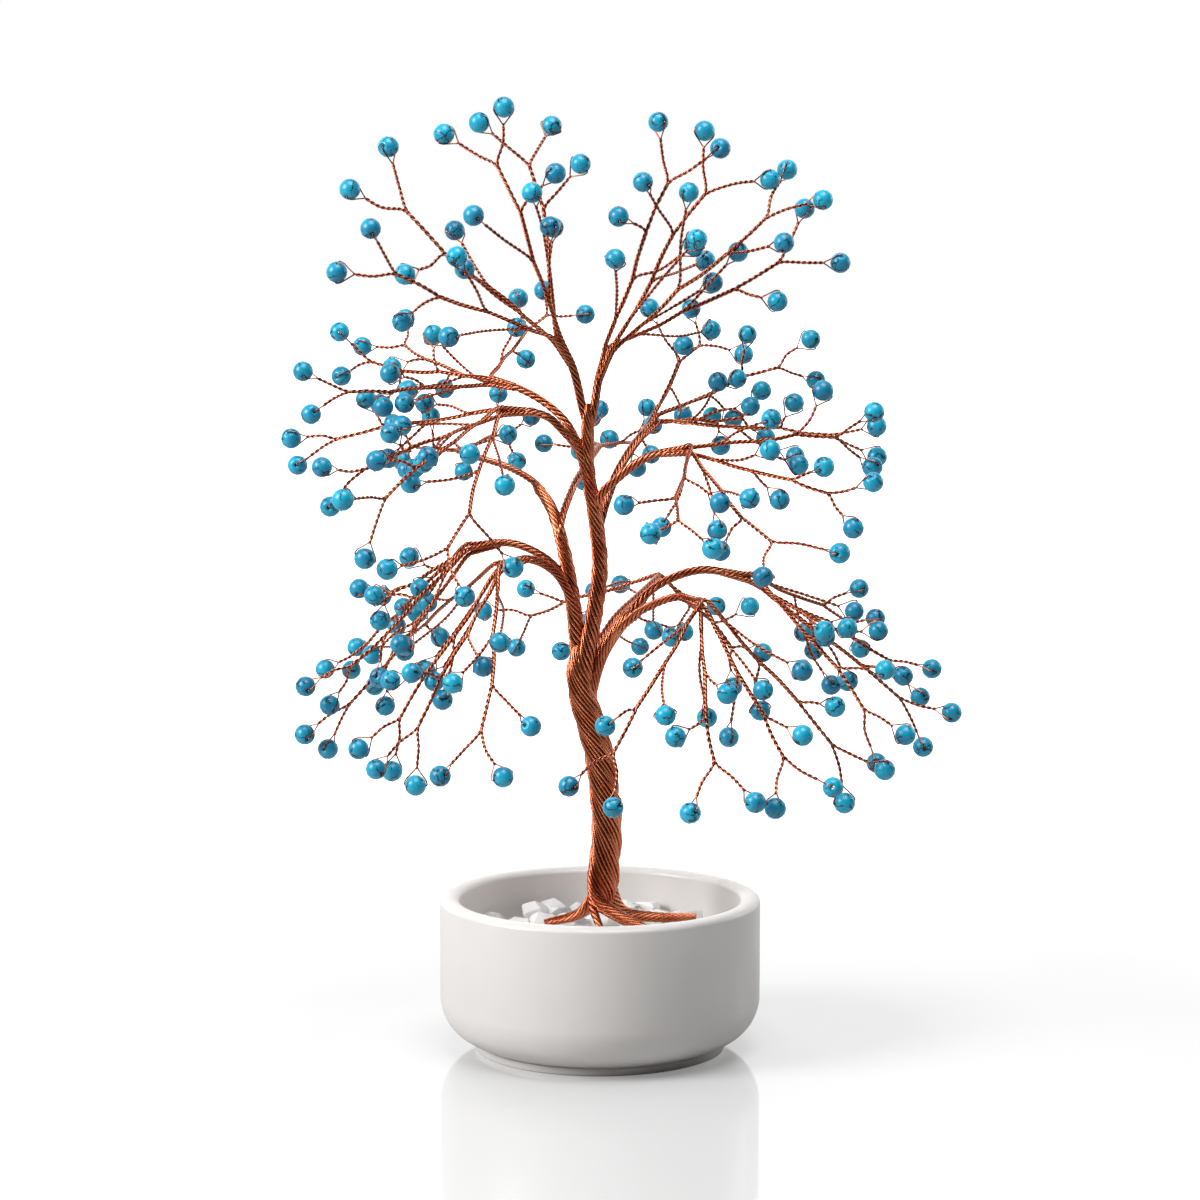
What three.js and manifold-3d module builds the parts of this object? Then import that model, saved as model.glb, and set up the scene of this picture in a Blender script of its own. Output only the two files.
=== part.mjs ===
// A wire tree: copper wire twisted into a trunk, two stems, limbs and sprays, with a turquoise
// bead at the tip of every twig, standing in a white glazed bowl filled with quartz chips.
// Millimetres, +Z up, the origin at the middle of the bowl's underside, the front towards -Y.
import * as THREE from 'three';
import { mergeVertices } from 'three/addons/utils/BufferGeometryUtils.js';
import Module from 'manifold-3d';

const wasm = await Module();
wasm.setup();

// Driving dimensions
const GAP = 0.3; // air between two pieces that touch in the real tree
const BEAD_SOLID_RADIUS = 3.6; // of the twenty-sided solid that stands for a round 6 mm bead and its wire
const BEAD_SOLID_TURN = THREE.MathUtils.degToRad(31.7); // puts two of its corners on the Y axis
const TWIG_RADIUS = 0.5; // two 0.5 mm wires twisted together
const STEM_RADIUS = 0.65; // three or four such wires, below a spray's forks
const TWIG_TAPER = 0.4; // how thin a twig starts inside its stem
const FORK_OVERRUN = 0.35; // how far past its fork a twig leaves the stem
const STRAND_LAY = 12; // the trunk's strands make one turn in this many radii
const GROOVE = 0.84; // how deep the grooves between them are, as a share of the radius
const POT_RADIUS = 45.8;
const POT_HEIGHT = 44;
const POT_WALL = 5.6;
const POT_FLOOR = 5;
const POT_TURN_HEIGHT = 14.6; // where the upright wall starts to turn in
const BELLY = [0.9, 5.2]; // the corner that the turn rounds off: in from the wall, and its height
const FOOT_RADIUS = 35.7;
const FOOT_HEIGHT = 2.2;
const FOOT_STEP = 0.7; // how far the foot stands out under the bowl
const FOOT_BEVEL = 0.3;
const RIM_STEPS = 4;
const RIM_FLATNESS = 0.6; // the rim's rounding, as a share of half the wall
const BED_LEVEL = 33.4;
const CHIP_SIZE = 5.6;
const CHIP_COUNT = 16;
const CHIP_SHAPE = [1, 0.8, 0.65]; // length, width and thickness, as shares of the size
const CHIP_VARIETY = 0.2;
const CHIP_SINK = 0.4;

// Where the tree is seen from: places on it are given as the front view shows them, u to the
// right and v down in a square view of 1200 units, with y as the depth in millimetres.
const VIEW_CENTRE = 600;
const VIEW_FOCAL = 3500;
const VIEW_PITCH = THREE.MathUtils.degToRad(6.8);
const EYE = new THREE.Vector3(0, -985, 246.5);

// The trunk and its two stems: a route of [u, v, y] and the radius at both ends
const TRUNK = {
  trunk: {
    route: [[603, 908, 0], [604, 870, 0], [607, 825, 0], [599, 755, 0], [582, 690, 0], [579, 645, 0]],
    radii: [4.7, 4.1],
  },
  left_stem: {
    route: [[580, 665, 1], [574, 610, 1], [566, 560, 2], [553, 512, 6], [534, 482, 14]],
    radii: [3.0, 1.6],
  },
  centre_stem: {
    route: [[584, 675, -1], [594, 615, -1], [600, 565, 0], [595, 515, 0], [588, 470, 0], [588, 404, 0]],
    radii: [3.0, 1.9],
  },
};

// Roots: the bundles that the trunk's wires part into, each from inside the trunk out over the
// chips, as a route of [u, v, y] and the radius at both ends. The first is the broad one that
// crosses the front of the trunk from its left to its right.
const ROOTS = [
  {
    route: [[604, 848, 0], [596, 876, -1.5], [598, 900, -3.5], [615, 914, -5.5], [645, 929, -8]],
    radii: [3, 1.5],
  },
  { route: [[604, 862, 0], [597, 888, 0.5], [582, 912, 1.5], [545, 923, 3]], radii: [2.6, 1.1] },
  { route: [[604, 862, 0], [610, 888, 2], [622, 911, 4.5], [655, 917, 6], [696, 917, 6]], radii: [2.6, 1.1] },
  { route: [[602, 872, 0], [592, 900, -2.5], [597, 920, -6], [604, 936, -9]], radii: [1.7, 1] },
  { route: [[604, 862, 0], [609, 890, 3], [616, 908, 7.5], [626, 916, 14]], radii: [2.4, 1.1] },
  { route: [[604, 862, 0], [598, 890, 3], [590, 908, 7.5], [578, 916, 14]], radii: [2.4, 1.1] },
];

// Limbs: a route of [u, v, y], the radius at both ends, the pieces that it grows from, and for
// each spray its end [u, v, y], the spread of its end pair and the turn of its fan in degrees
const LIMBS = {
  crown_left: {
    route: [[582.5, 408, 0], [572, 366, -1], [556, 338, -3]],
    radii: [1.3, 1.3],
    from: [],
    sprays: [
      [371, 168, -10, 19, 20], [355, 257, -30, 18, -20],
      [471, 122, -2, 20, 160], [518, 120, 20, 23, 200],
    ],
  },
  crown_right: {
    route: [[594, 408, 0], [599, 378, 2], [609, 350, 4]],
    radii: [1.3, 1.3],
    from: [],
    sprays: [
      [688, 140, -8, 19, 0], [743, 155, 12.5, 22, 20],
      [798, 173, 10, 18, 150], [820, 237, 28, 18, 180],
    ],
  },
  mid_left_bough: {
    route: [[590, 486, 0], [581, 452, 0], [565, 427, 0]],
    radii: [2.0, 1.8],
    from: [],
    sprays: [],
  },
  mid_left_upper: {
    route: [[568, 425, 2.5], [549, 406, 6], [520, 389, 12], [490, 381, 18]],
    radii: [1.3, 1.1],
    from: ['mid_left_bough'],
    sprays: [[385, 332, 59, 12, 90], [342, 353, 32, 12, 0], [308, 391, -14, 12, 20], [556, 310, 65, 14, 0]],
  },
  mid_left_lower: {
    route: [[563, 431, -1], [548, 417, -3], [524, 411, -5], [500, 412, -8]],
    radii: [1.3, 1.2],
    from: ['mid_left_bough'],
    sprays: [
      [297, 449, 5, 8, 180], [328, 487, -30, 10, 180],
      [363, 522, -64, 16, 180], [433, 566, -70, 21, 0],
    ],
  },
  mid_right_upper: {
    route: [[599, 530, 2], [614, 480, 10], [634, 445, 20], [656, 420, 30]],
    radii: [1.5, 1.3],
    from: [],
    sprays: [[712, 337, 62, 20, 0], [815, 358, 52, 13, 0], [764, 415, 30, 15, 180], [877, 442, 16, 9, 0]],
  },
  mid_right_lower: {
    route: [[598, 500, -1], [618, 478, -4], [650, 456, -8], [690, 450, -12]],
    radii: [1.4, 1.2],
    from: [],
    sprays: [
      [678, 555, -65, 17, 180], [793, 558, -60, 19, 180],
      [858, 506, -35, 13, 0], [873, 440, -10, 16, 0],
    ],
  },
  low_left_upper: {
    route: [[570, 588, 2], [548, 560, 1], [510, 543, 0], [470, 549, -2]],
    radii: [1.4, 1.1],
    from: [],
    sprays: [[368, 603, 8, 10, 0], [338, 660, 42, 9, -40], [318, 696, -2, 10, 0], [315, 742, 6, 8, 0]],
  },
  low_left_lower: {
    route: [[577, 618, 0], [557, 574, -3], [528, 559, -7], [500, 567, -12]],
    radii: [1.6, 1.2],
    from: [],
    sprays: [
      [470, 779, -62, 16, 0], [396, 776, -38, 12, 180],
      [375, 760, -26, 12, 180], [366, 668, 54, 12, 0],
    ],
  },
  low_right_bough: {
    route: [[590, 696, 0], [601, 657, -1], [617, 630, -2], [632, 612, -3]],
    radii: [2.0, 1.9],
    from: [],
    sprays: [],
  },
  low_right_upper: {
    route: [[628, 615, -1.5], [655, 587, 0], [700, 570, 2], [750, 578, 5]],
    radii: [1.4, 1.2],
    from: ['low_right_bough'],
    sprays: [[891, 750, -22, 12, 0], [938, 732, -3, 12, 0], [926, 683, 15, 9, 0], [875, 640, 40, 9, 0]],
  },
  low_right_lower: {
    route: [[631, 618, -5], [648, 607, -9], [678, 597, -16], [702, 604, -24]],
    radii: [1.3, 1.2],
    from: ['low_right_bough'],
    sprays: [
      [593, 794, -60, 14, 180], [723, 814, -62, 18, 180],
      [805, 802, -55, 16, 0], [865, 787, -35, 14, 0],
    ],
  },
};

// Limbs at the back, each with its own sprays twisted into it
const BACK_LIMBS = {
  left_back: {
    route: [[538, 486, 13], [510, 468, 24], [480, 458, 34], [455, 450, 45]],
    radii: [1.2, 1.0],
    sprays: [[400, 442, 50, 12, 0], [525, 438, 85, 14, 0]],
  },
  mid_back: {
    route: [[560, 530, 3], [573, 487, 18], [588, 462, 34], [600, 445, 50]],
    radii: [1.3, 1.1],
    sprays: [[575, 425, 88, 14, 0], [635, 432, 86, 14, 180]],
  },
  low_back: {
    route: [[590, 664, 2], [612, 622, 14], [640, 594, 28], [660, 575, 42]],
    radii: [1.4, 1.1],
    sprays: [[498, 630, 80, 16, 180], [603, 645, 82, 20, 0], [745, 665, 50, 14, 0]],
  },
};

// A spray's five tips in growing order: how far along the spray, how far across the fan and how
// far out of it, the last two in spreads; and how near each fork lies to the tips beyond it.
const FAN = [
  [0.46, 0.3, 0.45], [0.54, -0.45, -0.4], [0.67, 0.75, -0.15], [1, -0.5, 0.1], [1, 0.5, -0.1],
];
const FORK_PULL = [0.17, 0.3, 0.4, 0.5];
// The tips on side twigs. The stem ends in the fourth, and the second is left out.
const SIDE_TWIGS = [0, 2, 4];
const FAN_WOBBLE = [0.09, 0.3, 0.5]; // how unlike each other two fans are, along, across and out
const INNER_SPREAD = 13; // the least spread of the three inner beads
const SPRAY_CLEARANCE = 0.5; // from the end of the limb to the wires of its sprays
const SPRAY_RING = 1.5; // the circle on which the sprays leave the end of a limb

const finish = (color, roughness, metalness) => (
  new THREE.MeshStandardMaterial({ color, roughness, metalness }));
const COPPER = finish('#a85a3a', 0.3, 1);
const GLAZE = finish('#eceae8', 0.15, 0);
const QUARTZ = finish('#e6e4e0', 0.5, 0);

const tree = new THREE.Group();

// Booleans

function solid(geometry) {
  const bare = geometry.clone();
  bare.deleteAttribute('normal');
  bare.deleteAttribute('uv');
  const merged = mergeVertices(bare, 1e-4);
  const vertProperties = new Float32Array(merged.attributes.position.array);
  const triVerts = new Uint32Array(merged.index.array);
  return new wasm.Manifold(new wasm.Mesh({ numProp: 3, vertProperties, triVerts }));
}

function united(solids) {
  return solids.reduce((whole, part) => whole.add(part));
}

function add(name, manifold, material) {
  const mesh = manifold.getMesh();
  const geometry = new THREE.BufferGeometry();
  geometry.setAttribute('position', new THREE.BufferAttribute(mesh.vertProperties, 3));
  geometry.setIndex(new THREE.BufferAttribute(mesh.triVerts, 1));
  geometry.computeVertexNormals();
  const node = new THREE.Mesh(geometry, material);
  node.name = name;
  tree.add(node);
}

// Places

function sighted([u, v, y]) {
  const across = u - VIEW_CENTRE;
  const above = VIEW_CENTRE - v;
  const ray = new THREE.Vector3(
    across,
    VIEW_FOCAL * Math.cos(VIEW_PITCH) + above * Math.sin(VIEW_PITCH),
    above * Math.cos(VIEW_PITCH) - VIEW_FOCAL * Math.sin(VIEW_PITCH),
  );
  return ray.multiplyScalar((y - EYE.y) / ray.y).add(EYE);
}

// A repeatable number between -1 and 1 for each seed
function wobble(seed) {
  const wave = Math.sin(seed * 12.9898) * 43758.5453;
  return 2 * (wave - Math.floor(wave)) - 1;
}

// Rods

// A rod along a curve, tapering between two radii, of `sides` sides. `margin` makes it that
// much fatter and longer all over, for the room that it takes out of a neighbour. With `lay`,
// its strands wind round it: every other edge lies in a groove, and the edges make one turn
// in that many radii.
function rod(points, [startRadius, endRadius], sides, steps, margin = 0, lay = 0) {
  const curve = new THREE.CatmullRomCurve3(points, false, 'centripetal');
  const around = margin === 0 ? sides : 2 * sides;
  const girth = margin === 0 ? 1 : 1 / Math.cos(Math.PI / around);
  const geometry = new THREE.CylinderGeometry(1, 1, 1, around, steps);
  const frames = curve.computeFrenetFrames(steps, false);
  const place = geometry.attributes.position;
  const turns = lay && margin === 0 ? 2 * curve.getLength() / ((startRadius + endRadius) * lay) : 0;
  for (let i = 0; i < place.count; i += 1) {
    const step = Math.round((0.5 - place.getY(i)) * steps);
    const along = step / steps;
    const edge = Math.atan2(place.getZ(i), place.getX(i));
    const grooved = turns && Math.round(edge * sides / (2 * Math.PI)) % 2 !== 0 ? GROOVE : 1;
    const onAxis = Math.hypot(place.getX(i), place.getZ(i)) < 0.5;
    const taper = THREE.MathUtils.lerp(startRadius, endRadius, along);
    const radius = onAxis ? 0 : (taper * grooved + margin) * girth;
    const angle = edge - 2 * Math.PI * turns * along;
    const point = curve.getPointAt(along)
      .addScaledVector(frames.normals[step], Math.cos(angle) * radius)
      .addScaledVector(frames.binormals[step], Math.sin(angle) * radius);
    if (step === 0) point.addScaledVector(frames.tangents[step], -margin);
    if (step === steps) point.addScaledVector(frames.tangents[step], margin);
    place.setXYZ(i, point.x, point.y, point.z);
  }
  return solid(geometry);
}

// A thin three-sided wire that runs straight from point to point
function wire(points, startRadius, endRadius) {
  const steps = points.length - 1;
  const geometry = new THREE.CylinderGeometry(1, 1, 1, 3, steps);
  const place = geometry.attributes.position;
  const legs = points.slice(1).map((point, i) => point.clone().sub(points[i]).normalize());
  for (let i = 0; i < place.count; i += 1) {
    const step = Math.round((0.5 - place.getY(i)) * steps);
    const tangent = legs[Math.max(0, step - 1)].clone().add(legs[Math.min(steps - 1, step)]).normalize();
    const normal = new THREE.Vector3(0, 1, 0).cross(tangent).normalize();
    const radius = THREE.MathUtils.lerp(startRadius, endRadius, step / steps);
    const point = points[step].clone()
      .addScaledVector(normal, place.getX(i) * radius)
      .addScaledVector(tangent.clone().cross(normal), place.getZ(i) * radius);
    place.setXYZ(i, point.x, point.y, point.z);
  }
  return solid(geometry);
}

function routePoints(limb) {
  return limb.route.map(sighted);
}

function limbRod(limb, margin = 0) {
  return rod(routePoints(limb), limb.radii, 6, limb.route.length, margin);
}

function bead(place) {
  const geometry = new THREE.IcosahedronGeometry(BEAD_SOLID_RADIUS, 0);
  geometry.rotateZ(BEAD_SOLID_TURN);
  geometry.translate(place.x, place.y, place.z);
  return solid(geometry);
}

// Sprays

function mean(points) {
  return points.reduce((sum, point) => sum.add(point), new THREE.Vector3()).divideScalar(points.length);
}

function fanTips(root, [u, v, y, spread, turn], seed) {
  const end = sighted([u, v, y]);
  const heading = end.clone().sub(root);
  const reach = heading.length();
  heading.normalize();
  const flat = new THREE.Vector3(-heading.z, 0, heading.x).normalize();
  const across = flat.applyAxisAngle(heading, THREE.MathUtils.degToRad(turn));
  const out = heading.clone().cross(across);
  return FAN.map(([along, side, lift], i) => {
    const inner = along < 1 ? 1 : 0;
    const width = inner ? Math.max(spread, INNER_SPREAD) : spread;
    const further = along + inner * FAN_WOBBLE[0] * wobble(seed + i);
    const sideways = side + inner * FAN_WOBBLE[1] * wobble(seed + i + 0.3);
    const lifted = lift + FAN_WOBBLE[2] * wobble(seed + i + 0.6);
    return root.clone()
      .addScaledVector(heading, reach * further)
      .addScaledVector(across, width * sideways)
      .addScaledVector(out, width * lifted);
  });
}

function spray(root, fan, seed) {
  const tips = fanTips(root, fan, seed);
  const forks = [];
  let last = root;
  FORK_PULL.forEach((pull, i) => {
    last = last.clone().lerp(mean(tips.slice(i)), pull);
    forks.push(last);
  });
  const lastFork = forks.length - 1;
  const stem = wire([root, ...forks, tips[lastFork]], STEM_RADIUS, TWIG_RADIUS);
  const twigs = SIDE_TWIGS.map((i) => {
    const tip = tips[i];
    const fork = forks[Math.min(i, lastFork)];
    const below = forks[Math.min(i, lastFork) - 1] ?? root;
    const leaving = fork.clone().addScaledVector(fork.clone().sub(below).normalize(), FORK_OVERRUN);
    return wire([leaving, tip], TWIG_RADIUS * TWIG_TAPER, TWIG_RADIUS);
  });
  const beads = [...SIDE_TWIGS, lastFork].map((i) => bead(tips[i]));
  return united([stem, ...twigs, ...beads]);
}

// Where each spray leaves the end of its limb: on a small ring, in the order of their headings
function sprayRoots(limb, clearance, ring) {
  const points = routePoints(limb);
  const curve = new THREE.CatmullRomCurve3(points, false, 'centripetal');
  const end = curve.getPointAt(1);
  const tangent = curve.getTangentAt(1);
  const side = new THREE.Vector3(0, 1, 0).cross(tangent).normalize();
  const rise = tangent.clone().cross(side);
  const angles = limb.sprays.map((fan) => {
    const heading = sighted(fan.slice(0, 3)).sub(end);
    return Math.atan2(heading.dot(rise), heading.dot(side));
  });
  const order = angles.map((_, i) => i).sort((a, b) => angles[a] - angles[b]);
  const slot = 2 * Math.PI / order.length;
  const lag = order.map((i, rank) => angles[i] - rank * slot);
  const phase = Math.atan2(
    lag.reduce((sum, angle) => sum + Math.sin(angle), 0),
    lag.reduce((sum, angle) => sum + Math.cos(angle), 0),
  );
  return limb.sprays.map((_, i) => {
    const angle = phase + order.indexOf(i) * slot;
    return end.clone()
      .addScaledVector(tangent, clearance)
      .addScaledVector(side, ring * Math.cos(angle))
      .addScaledVector(rise, ring * Math.sin(angle));
  });
}

// The bowl and what fills it

function bowlOutline(inset) {
  const outline = new THREE.Path();
  const radius = POT_RADIUS - inset;
  const waist = FOOT_RADIUS - FOOT_STEP - inset;
  outline.moveTo(waist, FOOT_HEIGHT + inset);
  outline.quadraticCurveTo(radius - BELLY[0], BELLY[1] + inset, radius, POT_TURN_HEIGHT);
  return outline.getPoints(3);
}

function aboveFloor(point) {
  return point.y > POT_FLOOR + 1.5;
}

function pot() {
  const lip = POT_WALL / 2;
  const rim = [];
  for (let i = 0; i <= RIM_STEPS; i += 1) {
    const angle = Math.PI * i / RIM_STEPS;
    const drop = lip * RIM_FLATNESS * (1 - Math.sin(angle));
    rim.push(new THREE.Vector2(POT_RADIUS - lip + lip * Math.cos(angle), POT_HEIGHT - drop));
  }
  const profile = [
    new THREE.Vector2(0, 0),
    new THREE.Vector2(FOOT_RADIUS - FOOT_BEVEL, 0),
    new THREE.Vector2(FOOT_RADIUS, FOOT_BEVEL),
    new THREE.Vector2(FOOT_RADIUS, FOOT_HEIGHT - FOOT_BEVEL),
    ...bowlOutline(0),
    ...rim,
    ...bowlOutline(POT_WALL).reverse().filter(aboveFloor),
    new THREE.Vector2(FOOT_RADIUS - POT_WALL, POT_FLOOR),
    new THREE.Vector2(0, POT_FLOOR),
  ];
  const geometry = new THREE.LatheGeometry(profile, 32);
  geometry.rotateX(Math.PI / 2);
  return solid(geometry);
}

function stoneBed(roots) {
  const inset = POT_WALL + GAP;
  const profile = [
    new THREE.Vector2(0, POT_FLOOR + GAP),
    new THREE.Vector2(FOOT_RADIUS - inset, POT_FLOOR + GAP),
    ...bowlOutline(inset).filter(aboveFloor),
    new THREE.Vector2(POT_RADIUS - inset, BED_LEVEL),
    new THREE.Vector2(0, BED_LEVEL),
  ];
  const fill = new THREE.LatheGeometry(profile, 16);
  fill.rotateX(Math.PI / 2);
  const reach = POT_RADIUS - inset - CHIP_SIZE;
  const golden = Math.PI * (3 - Math.sqrt(5));
  const chips = [];
  for (let i = 0; i < CHIP_COUNT; i += 1) {
    const radius = reach * Math.sqrt((i + 0.5) / CHIP_COUNT);
    const chip = new THREE.IcosahedronGeometry(CHIP_SIZE * (1 + CHIP_VARIETY * wobble(i)), 0);
    chip.scale(...CHIP_SHAPE);
    chip.rotateX(wobble(i + 0.2));
    chip.rotateZ(Math.PI * wobble(i + 0.4));
    chip.translate(radius * Math.cos(i * golden), radius * Math.sin(i * golden), BED_LEVEL - CHIP_SINK);
    chips.push(solid(chip));
  }
  return united([solid(fill), ...chips]).subtract(roots);
}

function rootRods(margin) {
  return ROOTS.map(({ route, radii }) => rod(route.map(sighted), radii, 5, route.length, margin));
}

function trunkRods(margin) {
  const rods = Object.values(TRUNK).map(({ route, radii }) => (
    rod(route.map(sighted), radii, 6, 2 * route.length, margin, STRAND_LAY)));
  return united([...rods, ...rootRods(margin)]);
}

// The tree, from the ground up

const trunkRoom = trunkRods(GAP);
const limbRooms = Object.fromEntries(
  Object.entries(LIMBS).map(([name, limb]) => [name, limbRod(limb, GAP)]),
);

add('pot', pot(), GLAZE);
add('stone_bed', stoneBed(trunkRoom), QUARTZ);
add('trunk', trunkRods(0), COPPER);

let seed = 0;
Object.entries(LIMBS).forEach(([name, limb]) => {
  const rooms = [trunkRoom, ...limb.from.map((parent) => limbRooms[parent])];
  add(`${name}_limb`, rooms.reduce((left, room) => left.subtract(room), limbRod(limb)), COPPER);
  sprayRoots(limb, SPRAY_CLEARANCE, SPRAY_RING).forEach((root, i) => {
    seed += FAN.length;
    add(`${name}_spray_${i + 1}`, spray(root, limb.sprays[i], seed), COPPER);
  });
});

Object.entries(BACK_LIMBS).forEach(([name, limb]) => {
  const sprays = sprayRoots(limb, -GAP, SPRAY_RING / 4).map((root, i) => {
    seed += FAN.length;
    return spray(root, limb.sprays[i], seed);
  });
  add(`${name}_limb`, united([limbRod(limb), ...sprays]).subtract(trunkRoom), COPPER);
});

export default tree;
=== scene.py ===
"""Dresses the wire tree: copper wires laid strand by strand, drilled stone beads, chips and bowl."""
from __future__ import annotations

import logging
import math
import random
from dataclasses import dataclass, field
from enum import Enum
from functools import partial
from typing import Iterable, Sequence

import bmesh
import bpy
from bpy.types import Material, Mesh, Node, NodeSocket, NodeTree, Object
from mathutils import Matrix, Quaternion, Vector


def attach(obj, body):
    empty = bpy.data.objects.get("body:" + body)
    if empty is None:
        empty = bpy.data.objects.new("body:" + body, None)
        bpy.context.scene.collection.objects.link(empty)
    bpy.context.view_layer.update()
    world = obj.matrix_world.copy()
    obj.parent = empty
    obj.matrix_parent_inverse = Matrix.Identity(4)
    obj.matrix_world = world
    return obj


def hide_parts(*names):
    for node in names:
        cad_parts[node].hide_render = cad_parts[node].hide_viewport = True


Span = tuple[float, float]
Point = tuple[float, float, float]

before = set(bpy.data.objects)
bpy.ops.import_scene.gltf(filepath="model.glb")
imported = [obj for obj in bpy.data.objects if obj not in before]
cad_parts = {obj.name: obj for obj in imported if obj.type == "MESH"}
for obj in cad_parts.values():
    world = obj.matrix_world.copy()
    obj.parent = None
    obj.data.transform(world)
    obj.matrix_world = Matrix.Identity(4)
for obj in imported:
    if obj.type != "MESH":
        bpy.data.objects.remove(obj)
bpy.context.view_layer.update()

LOG = logging.getLogger("wire_tree")
MM = 0.001

# The view that the tree's places are given in, and that the camera takes
VIEW_WIDTH = 1200
VIEW_FOCAL = 3500
VIEW_PITCH = math.radians(6.8)
SENSOR_MM = 36
EYE = Vector((0, -985, 246.5))

# The sockets of a Mix node that mixes colours, by number, because their names repeat
SHARE, FIRST, SECOND, MIXED = 0, 6, 7, 2

# Sizes in millimetres
BEAD_RADIUS = 3.0
BED_LEVEL = 33.4
# The real wire is about 0.5 mm thick, as in the twigs. In the trunk, the limbs and the stems it is
# drawn thicker, so that its strands still show in the picture.
WIRE_RADIUS = 0.25
STEM_WIRE_RADIUS = 0.3
LIMB_WIRE_RADIUS = 0.4
TRUNK_WIRE_RADIUS = 0.48
EYE_WIRE_RADIUS = 0.2
# Long enough to give a direction and too short to move a wire
HAIRLINE = 1e-4

# How deep the grooves between a bundle's lobes are, as a share of its radius
LOBE_DEPTH = 0.13
WIRE_SIDES = 6
TRUNK_WIRE_SIDES = 8


class Slot(Enum):
    """The four materials that the tree is made of."""

    GLAZE = "white_glaze"
    CHIPS = "quartz_chips"
    WIRE = "copper_wire"
    BEADS = "turquoise_beads"


@dataclass(frozen=True)
class Fan:
    """A spray's end as the front view shows it, the spread of its end pair and its turn."""

    u: float
    v: float
    depth: float
    spread: float
    turn: float


@dataclass(frozen=True)
class LimbPlan:
    """A limb: its way inside its parent, its own route, its radii at both ends and its sprays."""

    name: str
    lead: tuple[Point, ...]
    route: tuple[Point, ...]
    radii: Span
    fans: tuple[Fan, ...] = ()
    spray_nodes: bool = True

    def middle_line(self) -> Route:
        """Its middle line, with its way inside its parent."""
        return Route([sighted(*point) for point in (*self.lead, *self.route)])


# Places are given as the front view shows them: across, down and depth
TRUNK_ROUTE = ((603, 908, 0), (604, 870, 0), (607, 825, 0), (599, 755, 0), (582, 690, 0),
               (579, 645, 0))
TRUNK_RADII = (4.7, 4.1)
STEMS = (
    LimbPlan("left_stem", (),
             ((585, 705, 0), (580, 665, 1), (574, 610, 1), (566, 560, 2), (553, 512, 6),
              (534, 482, 14)), (3.0, 1.6)),
    LimbPlan("centre_stem", (),
             ((585, 715, 0), (584, 675, -1), (594, 615, -1), (600, 565, 0), (595, 515, 0),
              (588, 470, 0), (588, 404, 0)), (3.0, 1.9)),
)
ROOTS = (
    LimbPlan("broad_root", (),
             ((604, 848, 0), (596, 876, -1.5), (598, 900, -3.5), (615, 914, -5.5), (645, 929, -8)),
             (3.0, 1.5)),
    LimbPlan("left_root", (),
             ((604, 862, 0), (597, 888, 0.5), (582, 912, 1.5), (545, 923, 3)), (2.6, 1.1)),
    LimbPlan("right_root", (),
             ((604, 862, 0), (610, 888, 2), (622, 911, 4.5), (655, 917, 6), (696, 917, 6)),
             (2.6, 1.1)),
    LimbPlan("small_root", (),
             ((602, 872, 0), (592, 900, -2.5), (597, 920, -6), (604, 936, -9)), (1.7, 1.0)),
    LimbPlan("back_right_root", (),
             ((604, 862, 0), (609, 890, 3), (616, 908, 7.5), (626, 916, 14)), (2.4, 1.1)),
    LimbPlan("back_left_root", (),
             ((604, 862, 0), (598, 890, 3), (590, 908, 7.5), (578, 916, 14)), (2.4, 1.1)),
)

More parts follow.
